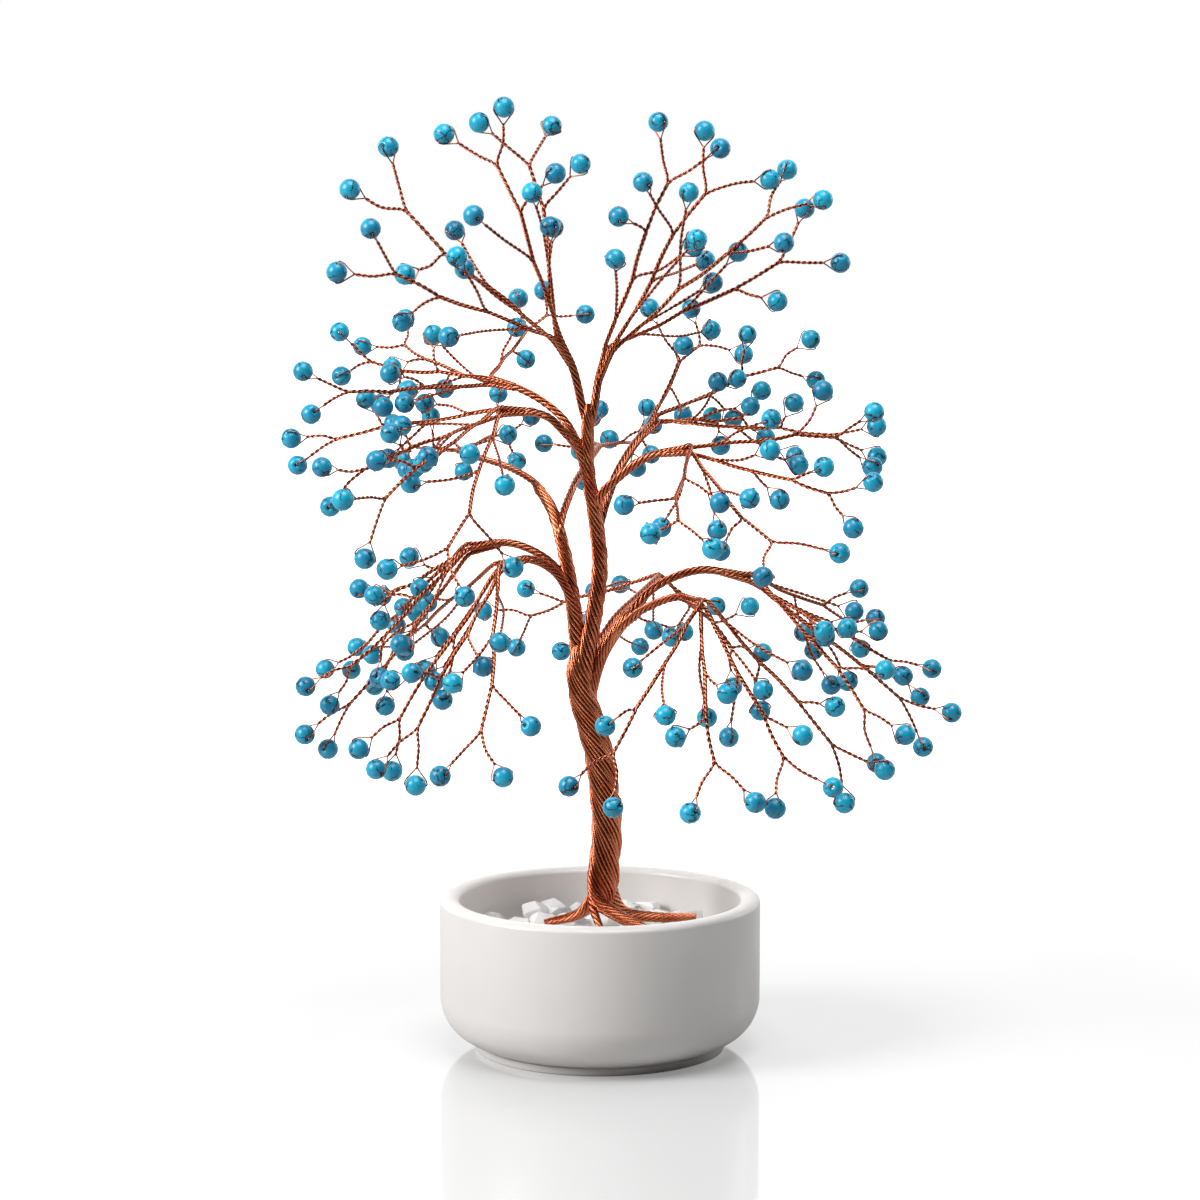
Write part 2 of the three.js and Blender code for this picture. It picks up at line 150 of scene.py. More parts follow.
LIMBS = (
    LimbPlan("crown_left", ((588, 470, 0), (588, 430, 0)),
             ((582.5, 408, 0), (572, 366, -1), (556, 338, -3)), (1.3, 1.3),
             (Fan(371, 168, -10, 19, 20), Fan(355, 257, -30, 18, -20), Fan(471, 122, -2, 20, 160),
              Fan(518, 120, 20, 23, 200))),
    LimbPlan("crown_right", ((588, 470, 0), (589, 430, 0)),
             ((594, 408, 0), (599, 378, 2), (609, 350, 4)), (1.3, 1.3),
             (Fan(688, 140, -8, 19, 0), Fan(743, 155, 12.5, 22, 20), Fan(798, 173, 10, 18, 150),
              Fan(820, 237, 28, 18, 180))),
    LimbPlan("mid_left_bough", ((597, 530, 0), (594, 508, 0)),
             ((590, 486, 0), (581, 452, 0), (565, 427, 0)), (2.0, 1.8)),
    LimbPlan("mid_left_upper", ((586, 470, 0), (579, 448, 0.5)),
             ((568, 425, 2.5), (549, 406, 6), (520, 389, 12), (490, 381, 18)), (1.3, 1.1),
             (Fan(385, 332, 59, 12, 90), Fan(342, 353, 32, 12, 0), Fan(308, 391, -14, 12, 20),
              Fan(556, 310, 65, 14, 0))),
    LimbPlan("mid_left_lower", ((586, 470, 0), (579, 450, -0.5)),
             ((563, 431, -1), (548, 417, -3), (524, 411, -5), (500, 412, -8)), (1.3, 1.2),
             (Fan(297, 449, 5, 8, 180), Fan(328, 487, -30, 10, 180), Fan(363, 522, -64, 16, 180),
              Fan(433, 566, -70, 21, 0))),
    LimbPlan("mid_right_upper", ((597, 590, 0), (600, 562, 0.5)),
             ((599, 530, 2), (614, 480, 10), (634, 445, 20), (656, 420, 30)), (1.5, 1.3),
             (Fan(712, 337, 62, 20, 0), Fan(815, 358, 52, 13, 0), Fan(764, 415, 30, 15, 180),
              Fan(877, 442, 16, 9, 0))),
    LimbPlan("mid_right_lower", ((599, 555, 0), (597, 525, 0)),
             ((598, 500, -1), (618, 478, -4), (650, 456, -8), (690, 450, -12)), (1.4, 1.2),
             (Fan(678, 555, -65, 17, 180), Fan(793, 558, -60, 19, 180), Fan(858, 506, -35, 13, 0),
              Fan(873, 440, -10, 16, 0))),
    LimbPlan("low_left_upper", ((577, 640, 1), (574, 612, 1)),
             ((570, 588, 2), (548, 560, 1), (510, 543, 0), (470, 549, -2)), (1.4, 1.1),
             (Fan(368, 603, 8, 10, 0), Fan(338, 660, 42, 9, -40), Fan(318, 696, -2, 10, 0),
              Fan(315, 742, 6, 8, 0))),
    LimbPlan("low_left_lower", ((581, 675, 1), (579, 645, 1)),
             ((577, 618, 0), (557, 574, -3), (528, 559, -7), (500, 567, -12)), (1.6, 1.2),
             (Fan(470, 779, -62, 16, 0), Fan(396, 776, -38, 12, 180), Fan(375, 760, -26, 12, 180),
              Fan(366, 668, 54, 12, 0))),
    LimbPlan("low_right_bough", ((594, 740, 0), (588, 716, 0)),
             ((590, 696, 0), (601, 657, -1), (617, 630, -2), (632, 612, -3)), (2.0, 1.9)),
    LimbPlan("low_right_upper", ((601, 657, -1), (615, 633, -2)),
             ((628, 615, -1.5), (655, 587, 0), (700, 570, 2), (750, 578, 5)), (1.4, 1.2),
             (Fan(891, 750, -22, 12, 0), Fan(938, 732, -3, 12, 0), Fan(926, 683, 15, 9, 0),
              Fan(875, 640, 40, 9, 0))),
    LimbPlan("low_right_lower", ((601, 657, -1), (615, 634, -2.5)),
             ((631, 618, -5), (648, 607, -9), (678, 597, -16), (702, 604, -24)), (1.3, 1.2),
             (Fan(593, 794, -60, 14, 180), Fan(723, 814, -62, 18, 180), Fan(805, 802, -55, 16, 0),
              Fan(865, 787, -35, 14, 0))),
    LimbPlan("left_back", ((562, 545, 3), (551, 508, 7)),
             ((538, 486, 13), (510, 468, 24), (480, 458, 34), (455, 450, 45)), (1.2, 1.0),
             (Fan(400, 442, 50, 12, 0), Fan(525, 438, 85, 14, 0)), spray_nodes=False),
    LimbPlan("mid_back", ((570, 590, 1.5), (564, 556, 2.5)),
             ((560, 530, 3), (573, 487, 18), (588, 462, 34), (600, 445, 50)), (1.3, 1.1),
             (Fan(575, 425, 88, 14, 0), Fan(635, 432, 86, 14, 180)), spray_nodes=False),
    LimbPlan("low_back", ((590, 720, 0), (588, 690, 0)),
             ((590, 664, 2), (612, 622, 14), (640, 594, 28), (660, 575, 42)), (1.4, 1.1),
             (Fan(498, 630, 80, 16, 180), Fan(603, 645, 82, 20, 0),
              Fan(745, 665, 50, 14, 0)), spray_nodes=False),
)

# A spray's five tips in growing order: along it, across the fan and out of it
FAN_TIPS = ((0.46, 0.3, 0.45), (0.54, -0.45, -0.4), (0.67, 0.75, -0.15), (1, -0.5, 0.1), (1, 0.5, -0.1))
# How far chance moves a tip in those three ways
FAN_WOBBLE = (0.09, 0.3, 0.5)
# The least spread of the three tips behind the end pair
INNER_SPREAD = 13


def linear(hex_colour: str) -> tuple[float, float, float, float]:
    """Turns an sRGB hex colour into the linear values that a shader takes.

    Args:
        hex_colour: six hex digits with a leading #.

    Returns:
        Red, green, blue and alpha, each from 0 to 1.
    """
    channels = [int(hex_colour[i:i + 2], 16) / 255 for i in (1, 3, 5)]
    turned = [c / 12.92 if c <= 0.04045 else ((c + 0.055) / 1.055) ** 2.4 for c in channels]
    return (*turned, 1.0)


def per_metre(size_mm: float) -> float:
    """A pattern's scale from the real size of one of its cells, in millimetres."""
    return 1 / (size_mm * MM)


def feed(node: Node, inputs: dict) -> None:
    """Feeds a node's inputs: a value goes on the socket itself, and an output is linked to it.

    Args:
        node: the node.
        inputs: for each input's name or number, a value or the output socket to link from.
    """
    for key, value in inputs.items():
        if isinstance(value, NodeSocket):
            node.id_data.links.new(value, node.inputs[key])
        else:
            node.inputs[key].default_value = value


def add_node(tree: NodeTree, kind: str, inputs: dict | None = None, **settings) -> Node:
    """Adds a node with its settings and links.

    Args:
        tree: the node tree to add to.
        kind: the node's type name.
        inputs: for each input's name or number, a value or the output socket to link from.
        settings: the node's own properties.

    Returns:
        The new node.
    """
    node = tree.nodes.new(kind)
    for name, value in settings.items():
        setattr(node, name, value)
    feed(node, inputs or {})
    return node


def new_shader(name: str) -> tuple[Material, NodeTree, NodeSocket, Node]:
    """Starts a node material.

    Args:
        name: what the surface is made of.

    Returns:
        The material, its node tree, its Object coordinates and its Principled shader.
    """
    material = bpy.data.materials.new(name)
    material.use_nodes = True
    tree = material.node_tree
    place = add_node(tree, "ShaderNodeTexCoord").outputs["Object"]
    return material, tree, place, tree.nodes["Principled BSDF"]


@dataclass(frozen=True)
class CopperWire:
    """Drawn copper wire under a thin clear lacquer: a warm toned metal with a soft, paler gloss on top."""

    bright: str = "#e2875a"
    toned: str = "#b6532c"
    # Painted shade for the grooves between strands, where a wire faces into its bundle
    painted_groove_shade: str = "#8c3a20"
    tone_mm: float = 9.0
    tone_span: Span = (0.35, 0.65)
    # How far out of its bundle a wire faces where the painted shade has gone
    shade_free_facing: float = 0.85
    marks_mm: float = 0.6
    roughness_span: Span = (0.22, 0.32)
    lacquer: float = 0.45
    lacquer_roughness: float = 0.22

    def material(self) -> Material:
        """Builds the metal: two tones drift along the wires, shade is painted into the grooves between
        them and fades out on their outward sides, and fine drawing marks break the gloss.

        Returns:
            The wires' material.
        """
        material, tree, place, shader = new_shader("drawn_copper_wire")
        add = partial(add_node, tree)
        drift = add("ShaderNodeTexNoise",
                    {"Vector": place, "Scale": per_metre(self.tone_mm), "Detail": 3.0}).outputs["Fac"]
        low, high = self.tone_span
        tone = add("ShaderNodeMapRange",
                   {"Value": drift, "From Min": low, "From Max": high}).outputs["Result"]
        plain_tone = add("ShaderNodeMix", {SHARE: tone, FIRST: linear(self.bright), SECOND: linear(self.toned)},
                     data_type="RGBA").outputs[MIXED]
        # Painted shade: where a wire faces into its bundle, between strands, its tone darkens to the groove
        # colour
        crest = add("ShaderNodeAttribute", attribute_name="crest").outputs["Fac"]
        unshaded = add("ShaderNodeMapRange", {"Value": crest, "From Max": self.shade_free_facing}).outputs["Result"]
        colour = add("ShaderNodeMix", {SHARE: unshaded, FIRST: linear(self.painted_groove_shade), SECOND: plain_tone},
                     data_type="RGBA").outputs[MIXED]
        marks = add("ShaderNodeTexNoise",
                    {"Vector": place, "Scale": per_metre(self.marks_mm), "Detail": 2.0}).outputs["Fac"]
        low, high = self.roughness_span
        gloss = add("ShaderNodeMapRange", {"Value": marks, "To Min": low, "To Max": high}).outputs["Result"]
        feed(shader, {"Base Color": colour, "Roughness": gloss, "Metallic": 1.0,
                      "Coat Weight": self.lacquer, "Coat Roughness": self.lacquer_roughness})
        return material


@dataclass(frozen=True)
class DyedHowlite:
    """Howlite dyed turquoise and polished: a glossy blue stone crossed by thin dark veins."""

    light: str = "#12b4d8"
    deep: str = "#0a82aa"
    cloud_mm: float = 12.0
    cloud_span: Span = (0.36, 0.64)
    vein: str = "#08131c"
    vein_cell_mm: float = 5.2
    # Where a vein is full and where it is gone, from its middle, as shares of a cell
    vein_width: Span = (0.004, 0.055)
    warp_mm: float = 2.2
    warp_reach_mm: float = 2.6
    patch_mm: float = 4.0
    patch_span: Span = (0.44, 0.52)
    groove_mm: float = 0.05
    roughness: float = 0.34
    ior: float = 1.59

    def material(self) -> Material:
        """Builds the stone: warped cell edges make the veins, and patches decide where they show.

        Returns:
            The beads' material.
        """
        material, tree, place, shader = new_shader("dyed_howlite")
        add = partial(add_node, tree)
        warp = add("ShaderNodeTexNoise",
                   {"Vector": place, "Scale": per_metre(self.warp_mm), "Detail": 4.0, "Roughness": 0.6})
        pushed = add("ShaderNodeVectorMath", {0: warp.outputs["Color"], 1: (0.5, 0.5, 0.5)},
                     operation="SUBTRACT").outputs[0]
        shift = add("ShaderNodeVectorMath", {0: pushed, "Scale": self.warp_reach_mm * MM},
                    operation="SCALE").outputs[0]
        warped = add("ShaderNodeVectorMath", {0: place, 1: shift}, operation="ADD").outputs[0]
        edges = add("ShaderNodeTexVoronoi", {"Vector": warped, "Scale": per_metre(self.vein_cell_mm)},
                    feature="DISTANCE_TO_EDGE").outputs["Distance"]
        low, high = self.vein_width
        vein = add("ShaderNodeMapRange",
                   {"Value": edges, "From Min": low, "From Max": high, "To Min": 1.0, "To Max": 0.0},
                   interpolation_type="SMOOTHSTEP").outputs["Result"]
        patches = add("ShaderNodeTexNoise",
                      {"Vector": place, "Scale": per_metre(self.patch_mm), "Detail": 2.0}).outputs["Fac"]
        low, high = self.patch_span
        shown = add("ShaderNodeMapRange", {"Value": patches, "From Min": low, "From Max": high},
                    interpolation_type="SMOOTHSTEP").outputs["Result"]
        veins = add("ShaderNodeMath", {0: vein, 1: shown}, operation="MULTIPLY").outputs[0]
        cloud = add("ShaderNodeTexNoise",
                    {"Vector": place, "Scale": per_metre(self.cloud_mm), "Detail": 2.0}).outputs["Fac"]
        low, high = self.cloud_span
        drift = add("ShaderNodeMapRange",
                    {"Value": cloud, "From Min": low, "From Max": high}).outputs["Result"]
        stone = add("ShaderNodeMix", {SHARE: drift, FIRST: linear(self.light), SECOND: linear(self.deep)},
                    data_type="RGBA").outputs[MIXED]
        veined = add("ShaderNodeMix", {SHARE: veins, FIRST: stone, SECOND: linear(self.vein)},
                     data_type="RGBA").outputs[MIXED]
        bump = add("ShaderNodeBump", {"Height": veins, "Strength": 0.15, "Distance": -self.groove_mm * MM})
        feed(shader, {"Base Color": veined, "Normal": bump.outputs[0], "Roughness": self.roughness,
                      "IOR": self.ior})
        return material


@dataclass(frozen=True)
class WhiteGlaze:
    """Thick white glaze on a slip-cast bowl: smooth, with a soft gloss and a faint slow ripple."""

    white: str = "#e9e6e3"
    shade: str = "#e0dcd9"
    cloud_mm: float = 25.0
    ripple_mm: float = 14.0
    ripple_height_mm: float = 0.3
    roughness: float = 0.32
    ior: float = 1.52

    def material(self) -> Material:
        """Builds the glaze: a barely uneven white that ripples a little.

        Returns:
            The bowl's material.
        """
        material, tree, place, shader = new_shader("white_glazed_ceramic")
        add = partial(add_node, tree)
        cloud = add("ShaderNodeTexNoise",
                    {"Vector": place, "Scale": per_metre(self.cloud_mm), "Detail": 3.0}).outputs["Fac"]
        colour = add("ShaderNodeMix", {SHARE: cloud, FIRST: linear(self.white), SECOND: linear(self.shade)},
                     data_type="RGBA").outputs[MIXED]
        ripple = add("ShaderNodeTexNoise",
                     {"Vector": place, "Scale": per_metre(self.ripple_mm), "Detail": 1.0}).outputs["Fac"]
        bump = add("ShaderNodeBump",
                   {"Height": ripple, "Strength": 0.1, "Distance": self.ripple_height_mm * MM})
        feed(shader, {"Base Color": colour, "Normal": bump.outputs[0], "Roughness": self.roughness,
                      "IOR": self.ior})
        return material


@dataclass(frozen=True)
class MilkyQuartz:
    """Broken milky quartz: pale, cloudy and a little see-through, with a sugary broken surface."""

    clear: str = "#ffffff"
    milky: str = "#f6f4f2"
    cloud_mm: float = 4.0
    grit_mm: float = 0.8
    grit_height_mm: float = 0.15
    roughness: float = 0.34
    ior: float = 1.54
    haze: float = 0.6
    haze_reach: Point = (1.0, 0.95, 0.9)
    haze_mm: float = 2.0
    see_through: float = 0.15

    def material(self) -> Material:
        """Builds the stone: clouds inside, light that passes a little way in, and grit outside.

        Returns:
            The chips' material.
        """
        material, tree, place, shader = new_shader("milky_quartz")
        add = partial(add_node, tree)
        cloud = add("ShaderNodeTexNoise", {"Vector": place, "Scale": per_metre(self.cloud_mm), "Detail": 5.0,
                                           "Roughness": 0.6}).outputs["Fac"]
        colour = add("ShaderNodeMix", {SHARE: cloud, FIRST: linear(self.clear), SECOND: linear(self.milky)},
                     data_type="RGBA").outputs[MIXED]
        grit = add("ShaderNodeTexNoise",
                   {"Vector": place, "Scale": per_metre(self.grit_mm), "Detail": 4.0}).outputs["Fac"]
        bump = add("ShaderNodeBump", {"Height": grit, "Strength": 0.3, "Distance": self.grit_height_mm * MM})
        feed(shader, {"Base Color": colour, "Normal": bump.outputs[0], "Roughness": self.roughness,
                      "IOR": self.ior, "Subsurface Weight": self.haze, "Subsurface Radius": self.haze_reach,
                      "Subsurface Scale": self.haze_mm * MM, "Transmission Weight": self.see_through})
        return material


def sighted(u: float, v: float, depth: float) -> Vector:
    """The place of a point that the front view shows at a depth.

    Args:
        u: how far the point is from the view's left edge, of VIEW_WIDTH.
        v: how far it is from the top edge.
        depth: its Y in millimetres.

    Returns:
        The place in the tree's frame, in millimetres.
    """
    across = u - VIEW_WIDTH / 2
    above = VIEW_WIDTH / 2 - v
    ray = Vector((
        across,
        VIEW_FOCAL * math.cos(VIEW_PITCH) + above * math.sin(VIEW_PITCH),
        above * math.cos(VIEW_PITCH) - VIEW_FOCAL * math.sin(VIEW_PITCH),
    ))
    return EYE + ray * ((depth - EYE.y) / ray.y)


def wobble(seed: float) -> float:
    """A repeatable number between -1 and 1 for a seed."""
    wave = math.sin(seed * 12.9898) * 43758.5453
    return 2 * (wave - math.floor(wave)) - 1


def swerve(seed: float, offsets: Point) -> Vector:
    """A repeatable vector for a seed, each part of it between -1 and 1."""
    return Vector([wobble(seed + offset) for offset in offsets])


def mean(points: Sequence[Vector]) -> Vector:
    """The middle of some points."""
    return sum(points, Vector()) / len(points)


class Route:
    """A smooth route through points, measured along its length."""

    # How many samples lie between two points, and how far to each side a direction looks, in millimetres
    FINENESS = 24
    TANGENT_REACH = 0.2

    def __init__(self, points: Sequence[Vector]) -> None:
        """Samples a centripetal spline through the points.

        Args:
            points: the places that the route passes through, in millimetres.
        """
        self.samples = self._sampled(points)
        self.marks = [0.0]
        for here, there in zip(self.samples, self.samples[1:]):
            self.marks.append(self.marks[-1] + (there - here).length)

    @property
    def length(self) -> float:
        """The whole length in millimetres."""
        return self.marks[-1]

    def _sampled(self, points: Sequence[Vector]) -> list[Vector]:
        """Samples the spline.

        Args:
            points: the places that it passes through.

        Returns:
            Points close together along it.
        """
        first = points[0] * 2 - points[1]
        last = points[-1] * 2 - points[-2]
        knots = [first, *points, last]
        samples = []
        for a, b, c, d in zip(knots, knots[1:], knots[2:], knots[3:]):
            for step in range(self.FINENESS):
                samples.append(self._between(a, b, c, d, step / self.FINENESS))
        samples.append(points[-1].copy())
        return samples

    @staticmethod
    def _between(a: Vector, b: Vector, c: Vector, d: Vector, t: float) -> Vector:
        """Finds a point between b and c on the spline through four points.

        Args:
            a, b, c, d: the four points.
            t: how far it lies from b towards c, from 0 to 1.

        Returns:
            The point.
        """
        before, within, after = (math.sqrt(max((q - p).length, 1e-6)) for p, q in ((a, b), (b, c), (c, d)))
        leaving = ((b - a) / before - (c - a) / (before + within) + (c - b) / within) * within
        arriving = ((c - b) / within - (d - b) / (within + after) + (d - c) / after) * within
        return (b + leaving * t + (b * -3 + c * 3 - leaving * 2 - arriving) * t ** 2
                + (b * 2 - c * 2 + leaving + arriving) * t ** 3)

    def at(self, distance: float) -> Vector:
        """Finds a place along the route.

        Args:
            distance: how far it is from the start, in millimetres.

        Returns:
            The place.
        """
        low, high = 0, len(self.marks) - 1
        while high - low > 1:
            middle = (low + high) // 2
            if self.marks[middle] <= distance:
                low = middle
            else:
                high = middle
        span = self.marks[high] - self.marks[low]
        return self.samples[low].lerp(self.samples[high], (distance - self.marks[low]) / max(span, 1e-9))

    def tangent(self, distance: float) -> Vector:
        """The direction of the route at a distance along it."""
        ahead = self.at(min(distance + self.TANGENT_REACH, self.length))
        return (ahead - self.at(max(distance - self.TANGENT_REACH, 0))).normalized()


class WirePaths:
    """The paths of many wires in one mesh, with what Geometry Nodes need to lay them."""

    # How many steps a turn of the strands takes, and the longest step in millimetres
    STEPS_PER_TURN = 9
    LONGEST_STEP = 2.0
    # What is left of a bundle's radius where it closes up
    CLOSED_SHARE = 0.35

    def __init__(self) -> None:
        """Starts with no wires."""
        self.points: list[Vector] = []
        self.edges: list[tuple[int, int]] = []
        self.sides: list[Vector] = []
        self.rises: list[Vector] = []
        self.strands: list[int] = []
        self.gauges: list[float] = []
        self.lobes: list[int] = []

    def add(self, points: Sequence[Vector], sides: Sequence[Vector], rises: Sequence[Vector], strands: int,
            gauge: float = WIRE_RADIUS, lobes: int = 0) -> None:
        """Adds one bundle's path.

        Args:
            points: the bundle's middle line, in millimetres.
            sides: where the first strand lies from the middle, at each point.
            rises: the same, a quarter turn on.
            strands: how many wires lie round the middle line.
            gauge: the wires' radius.
            lobes: how many smaller bundles show in the whole one.
        """
        start = len(self.points)
        self.points.extend(points)
        self.sides.extend(sides)
        self.rises.extend(rises)
        self.strands.extend([strands] * len(points))
        self.gauges.extend([gauge * MM] * len(points))
        self.lobes.extend([lobes] * len(points))
        self.edges.extend((start + i, start + i + 1) for i in range(len(points) - 1))

    def add_single(self, points: Sequence[Vector], gauge: float) -> None:
        """Adds one wire on its own, with its radius. Shade is painted on its lower side, and its upper side
        keeps the plain tone.
        """
        up = [Vector((0, 0, HAIRLINE))] * len(points)
        self.add(points, up, up, 1, gauge)

    def add_bundle(self, route: Route, radii: Span, strands: int, lay: float,
                   dive: float = 0.0, gauge: float = WIRE_RADIUS, lobes: int = 0,
                   rise: float = 0.0) -> tuple[Vector, Vector]:
        """Twists strands round a route.

        Args:
            route: the bundle's middle line.
            radii: how far the strands' middles lie from it, at both ends.
            strands: how many there are.
            lay: the slope of the strands against the middle line.
            dive: over how many millimetres the bundle closes up at its far end, or 0.
            gauge: the wires' radius.
            lobes: how many smaller bundles show in the whole one.
            rise: over how many millimetres it opens out at its near end, or 0.

        Returns:
            The direction of the first strand from the middle line at the far end, and the route's
            direction there.
        """
        girth = max(sum(radii) / 2, gauge)
        pitch = 2 * math.pi * girth / lay
        steps = max(3, math.ceil(route.length / min(pitch / self.STEPS_PER_TURN, self.LONGEST_STEP)))
        tangent = route.tangent(0)
        helper = Vector((0, 1, 0)) if abs(tangent.y) < 0.9 else Vector((1, 0, 0))
        normal = helper.cross(tangent).normalized()
        points, sides, rises = [], [], []
        for step in range(steps + 1):
            distance = route.length * step / steps
            heading = route.tangent(distance)
            normal = (normal - heading * normal.dot(heading)).normalized()
            angle = -2 * math.pi * distance / pitch
            side = normal * math.cos(angle) + heading.cross(normal) * math.sin(angle)
            radius = radii[0] + (radii[1] - radii[0]) * step / steps
            for left, closing in ((max(route.length - distance, 0), dive), (distance, rise)):
                if left < closing:
                    swell = math.sin(math.pi / 2 * left / closing)
                    radius *= self.CLOSED_SHARE + (1 - self.CLOSED_SHARE) * swell
            points.append(route.at(distance))
            sides.append(side * radius)
            rises.append(heading.cross(side) * radius)
        self.add(points, sides, rises, strands, gauge, lobes)
        return sides[-1].normalized(), route.tangent(route.length)

    def mesh(self, name: str) -> Mesh:
        """Builds the paths as a mesh of edges with their attributes, in metres.

        Args:
            name: the mesh's name.

        Returns:
            The mesh.
        """
        mesh = bpy.data.meshes.new(name)
        mesh.from_pydata([point * MM for point in self.points], self.edges, [])
        for label, values in (("side", self.sides), ("rise", self.rises)):
            flat = [number * MM for vector in values for number in vector]
            mesh.attributes.new(label, "FLOAT_VECTOR", "POINT").data.foreach_set("vector", flat)
        for label, kind, values in (("strands", "INT", self.strands), ("lobes", "INT", self.lobes),
                                    ("gauge", "FLOAT", self.gauges)):
            mesh.attributes.new(label, kind, "POINT").data.foreach_set("value", values)
        return mesh


def named(tree: NodeTree, label: str, data_type: str) -> NodeSocket:
    """The output of a Geometry Nodes field that reads an attribute."""
    return add_node(tree, "GeometryNodeInputNamedAttribute", {"Name": label}, data_type=data_type).outputs[0]


def start_tree(name: str, inputs: dict[str, str]) -> tuple[NodeTree, Node]:
    """Starts a Geometry Nodes tree with named inputs.

    Args:
        name: the tree's name.
        inputs: each input's name and socket type, after the geometry.

    Returns:
        The tree and its Group Input node.
    """
    tree = bpy.data.node_groups.new(name, "GeometryNodeTree")
    for label, kind in {"Geometry": "NodeSocketGeometry", **inputs}.items():
        tree.interface.new_socket(label, in_out="INPUT", socket_type=kind)
    tree.interface.new_socket("Geometry", in_out="OUTPUT", socket_type="NodeSocketGeometry")
    return tree, add_node(tree, "NodeGroupInput")


def end_tree(tree: NodeTree, geometry: NodeSocket, material: NodeSocket) -> None:
    """Ends a tree in smooth shading, Realize Instances and Set Material.

    Args:
        tree: the tree.
        geometry: what it has made.
        material: what that is made of.
    """
    smooth = add_node(tree, "GeometryNodeSetShadeSmooth", {"Geometry": geometry}).outputs[0]
    real = add_node(tree, "GeometryNodeRealizeInstances", {"Geometry": smooth}).outputs[0]
    dressed = add_node(tree, "GeometryNodeSetMaterial", {"Geometry": real, "Material": material}).outputs[0]
    add_node(tree, "NodeGroupOutput", {"Geometry": dressed})


def strand_layer() -> NodeTree:
    """Builds a tree that lays every path's strands round it, sweeps each one as a round wire and stores
    how far each point of it faces away from its bundle, which sets the shade painted between strands.

    Returns:
        The tree.
    """
    tree, given = start_tree("strand_layer", {"Lobe depth": "NodeSocketFloat", "Sides": "NodeSocketInt",
                                              "Metal": "NodeSocketMaterial"})
    add = partial(add_node, tree)
    paths = add("GeometryNodeMeshToCurve", {"Mesh": given.outputs["Geometry"]}).outputs[0]
    count = named(tree, "strands", "INT")
    copies = add("GeometryNodeDuplicateElements", {"Geometry": paths, "Amount": count}, domain="SPLINE")
    share = add("ShaderNodeMath", {0: 2 * math.pi, 1: count}, operation="DIVIDE").outputs[0]
    angle = add("ShaderNodeMath", {0: copies.outputs["Duplicate Index"], 1: share},
                operation="MULTIPLY").outputs[0]
    parts = []
    for label, wave in (("side", "COSINE"), ("rise", "SINE")):
        amount = add("ShaderNodeMath", {0: angle}, operation=wave).outputs[0]
        direction = named(tree, label, "FLOAT_VECTOR")
        parts.append(add("ShaderNodeVectorMath", {0: direction, "Scale": amount},
                         operation="SCALE").outputs[0])
    circle = add("ShaderNodeVectorMath", {0: parts[0], 1: parts[1]}, operation="ADD").outputs[0]
    phase = add("ShaderNodeMath", {0: angle, 1: named(tree, "lobes", "INT")}, operation="MULTIPLY")
    wave = add("ShaderNodeMath", {0: phase.outputs[0]}, operation="COSINE").outputs[0]
    sunk = add("ShaderNodeMapRange", {"Value": wave, "From Min": -1.0, "From Max": 1.0,
                                      "To Min": given.outputs["Lobe depth"], "To Max": 0.0}).outputs["Result"]
    reach = add("ShaderNodeMath", {0: 1.0, 1: sunk}, operation="SUBTRACT").outputs[0]
    offset = add("ShaderNodeVectorMath", {0: circle, "Scale": reach}, operation="SCALE").outputs[0]
    laid = add("GeometryNodeSetPosition", {"Geometry": copies.outputs["Geometry"], "Offset": offset})
    away = add("ShaderNodeVectorMath", {0: circle}, operation="NORMALIZE").outputs[0]
    marked = add("GeometryNodeStoreNamedAttribute",
                 {"Geometry": laid.outputs[0], "Name": "outward", "Value": away}, data_type="FLOAT_VECTOR")
    section = add("GeometryNodeCurvePrimitiveCircle",
                  {"Resolution": given.outputs["Sides"], "Radius": 1.0}).outputs[0]
    swept = add("GeometryNodeCurveToMesh",
                {"Curve": marked.outputs[0], "Profile Curve": section, "Scale": named(tree, "gauge", "FLOAT"),
                 "Fill Caps": True}).outputs[0]
    # How far each point faces out of its bundle: where it faces in, the copper is painted with shade
    facing = add("GeometryNodeInputNormal").outputs[0]
    crest = add("ShaderNodeVectorMath", {0: facing, 1: named(tree, "outward", "FLOAT_VECTOR")},
                operation="DOT_PRODUCT").outputs["Value"]
    shaded = add("GeometryNodeStoreNamedAttribute", {"Geometry": swept, "Name": "crest", "Value": crest},
                 data_type="FLOAT").outputs[0]
    end_tree(tree, shaded, given.outputs["Metal"])
    return tree


def bead_threader() -> NodeTree:
    """Builds a tree that puts one bead on every point, turned and sized as its attributes say.

    Returns:
        The tree.
    """
    tree, given = start_tree("bead_threader", {"Bead": "NodeSocketObject", "Stone": "NodeSocketMaterial"})
    add = partial(add_node, tree)
    bead = add("GeometryNodeObjectInfo", {"Object": given.outputs["Bead"]}).outputs["Geometry"]
    turn = add("FunctionNodeEulerToRotation", {0: named(tree, "turn", "FLOAT_VECTOR")}).outputs[0]
    threaded = add("GeometryNodeInstanceOnPoints",
                   {"Points": given.outputs["Geometry"], "Instance": bead, "Rotation": turn,
                    "Scale": named(tree, "size", "FLOAT")}).outputs[0]
    end_tree(tree, threaded, given.outputs["Stone"])
    return tree


def placed(data: bpy.types.ID, name: str) -> Object:
    """Puts a mesh, a light or a camera into the scene at the origin.

    Args:
        data: the mesh, light or camera.
        name: the new object's name.

    Returns:
        The new object.
    """
    thing = bpy.data.objects.new(name, data)
    bpy.context.scene.collection.objects.link(thing)
    return thing


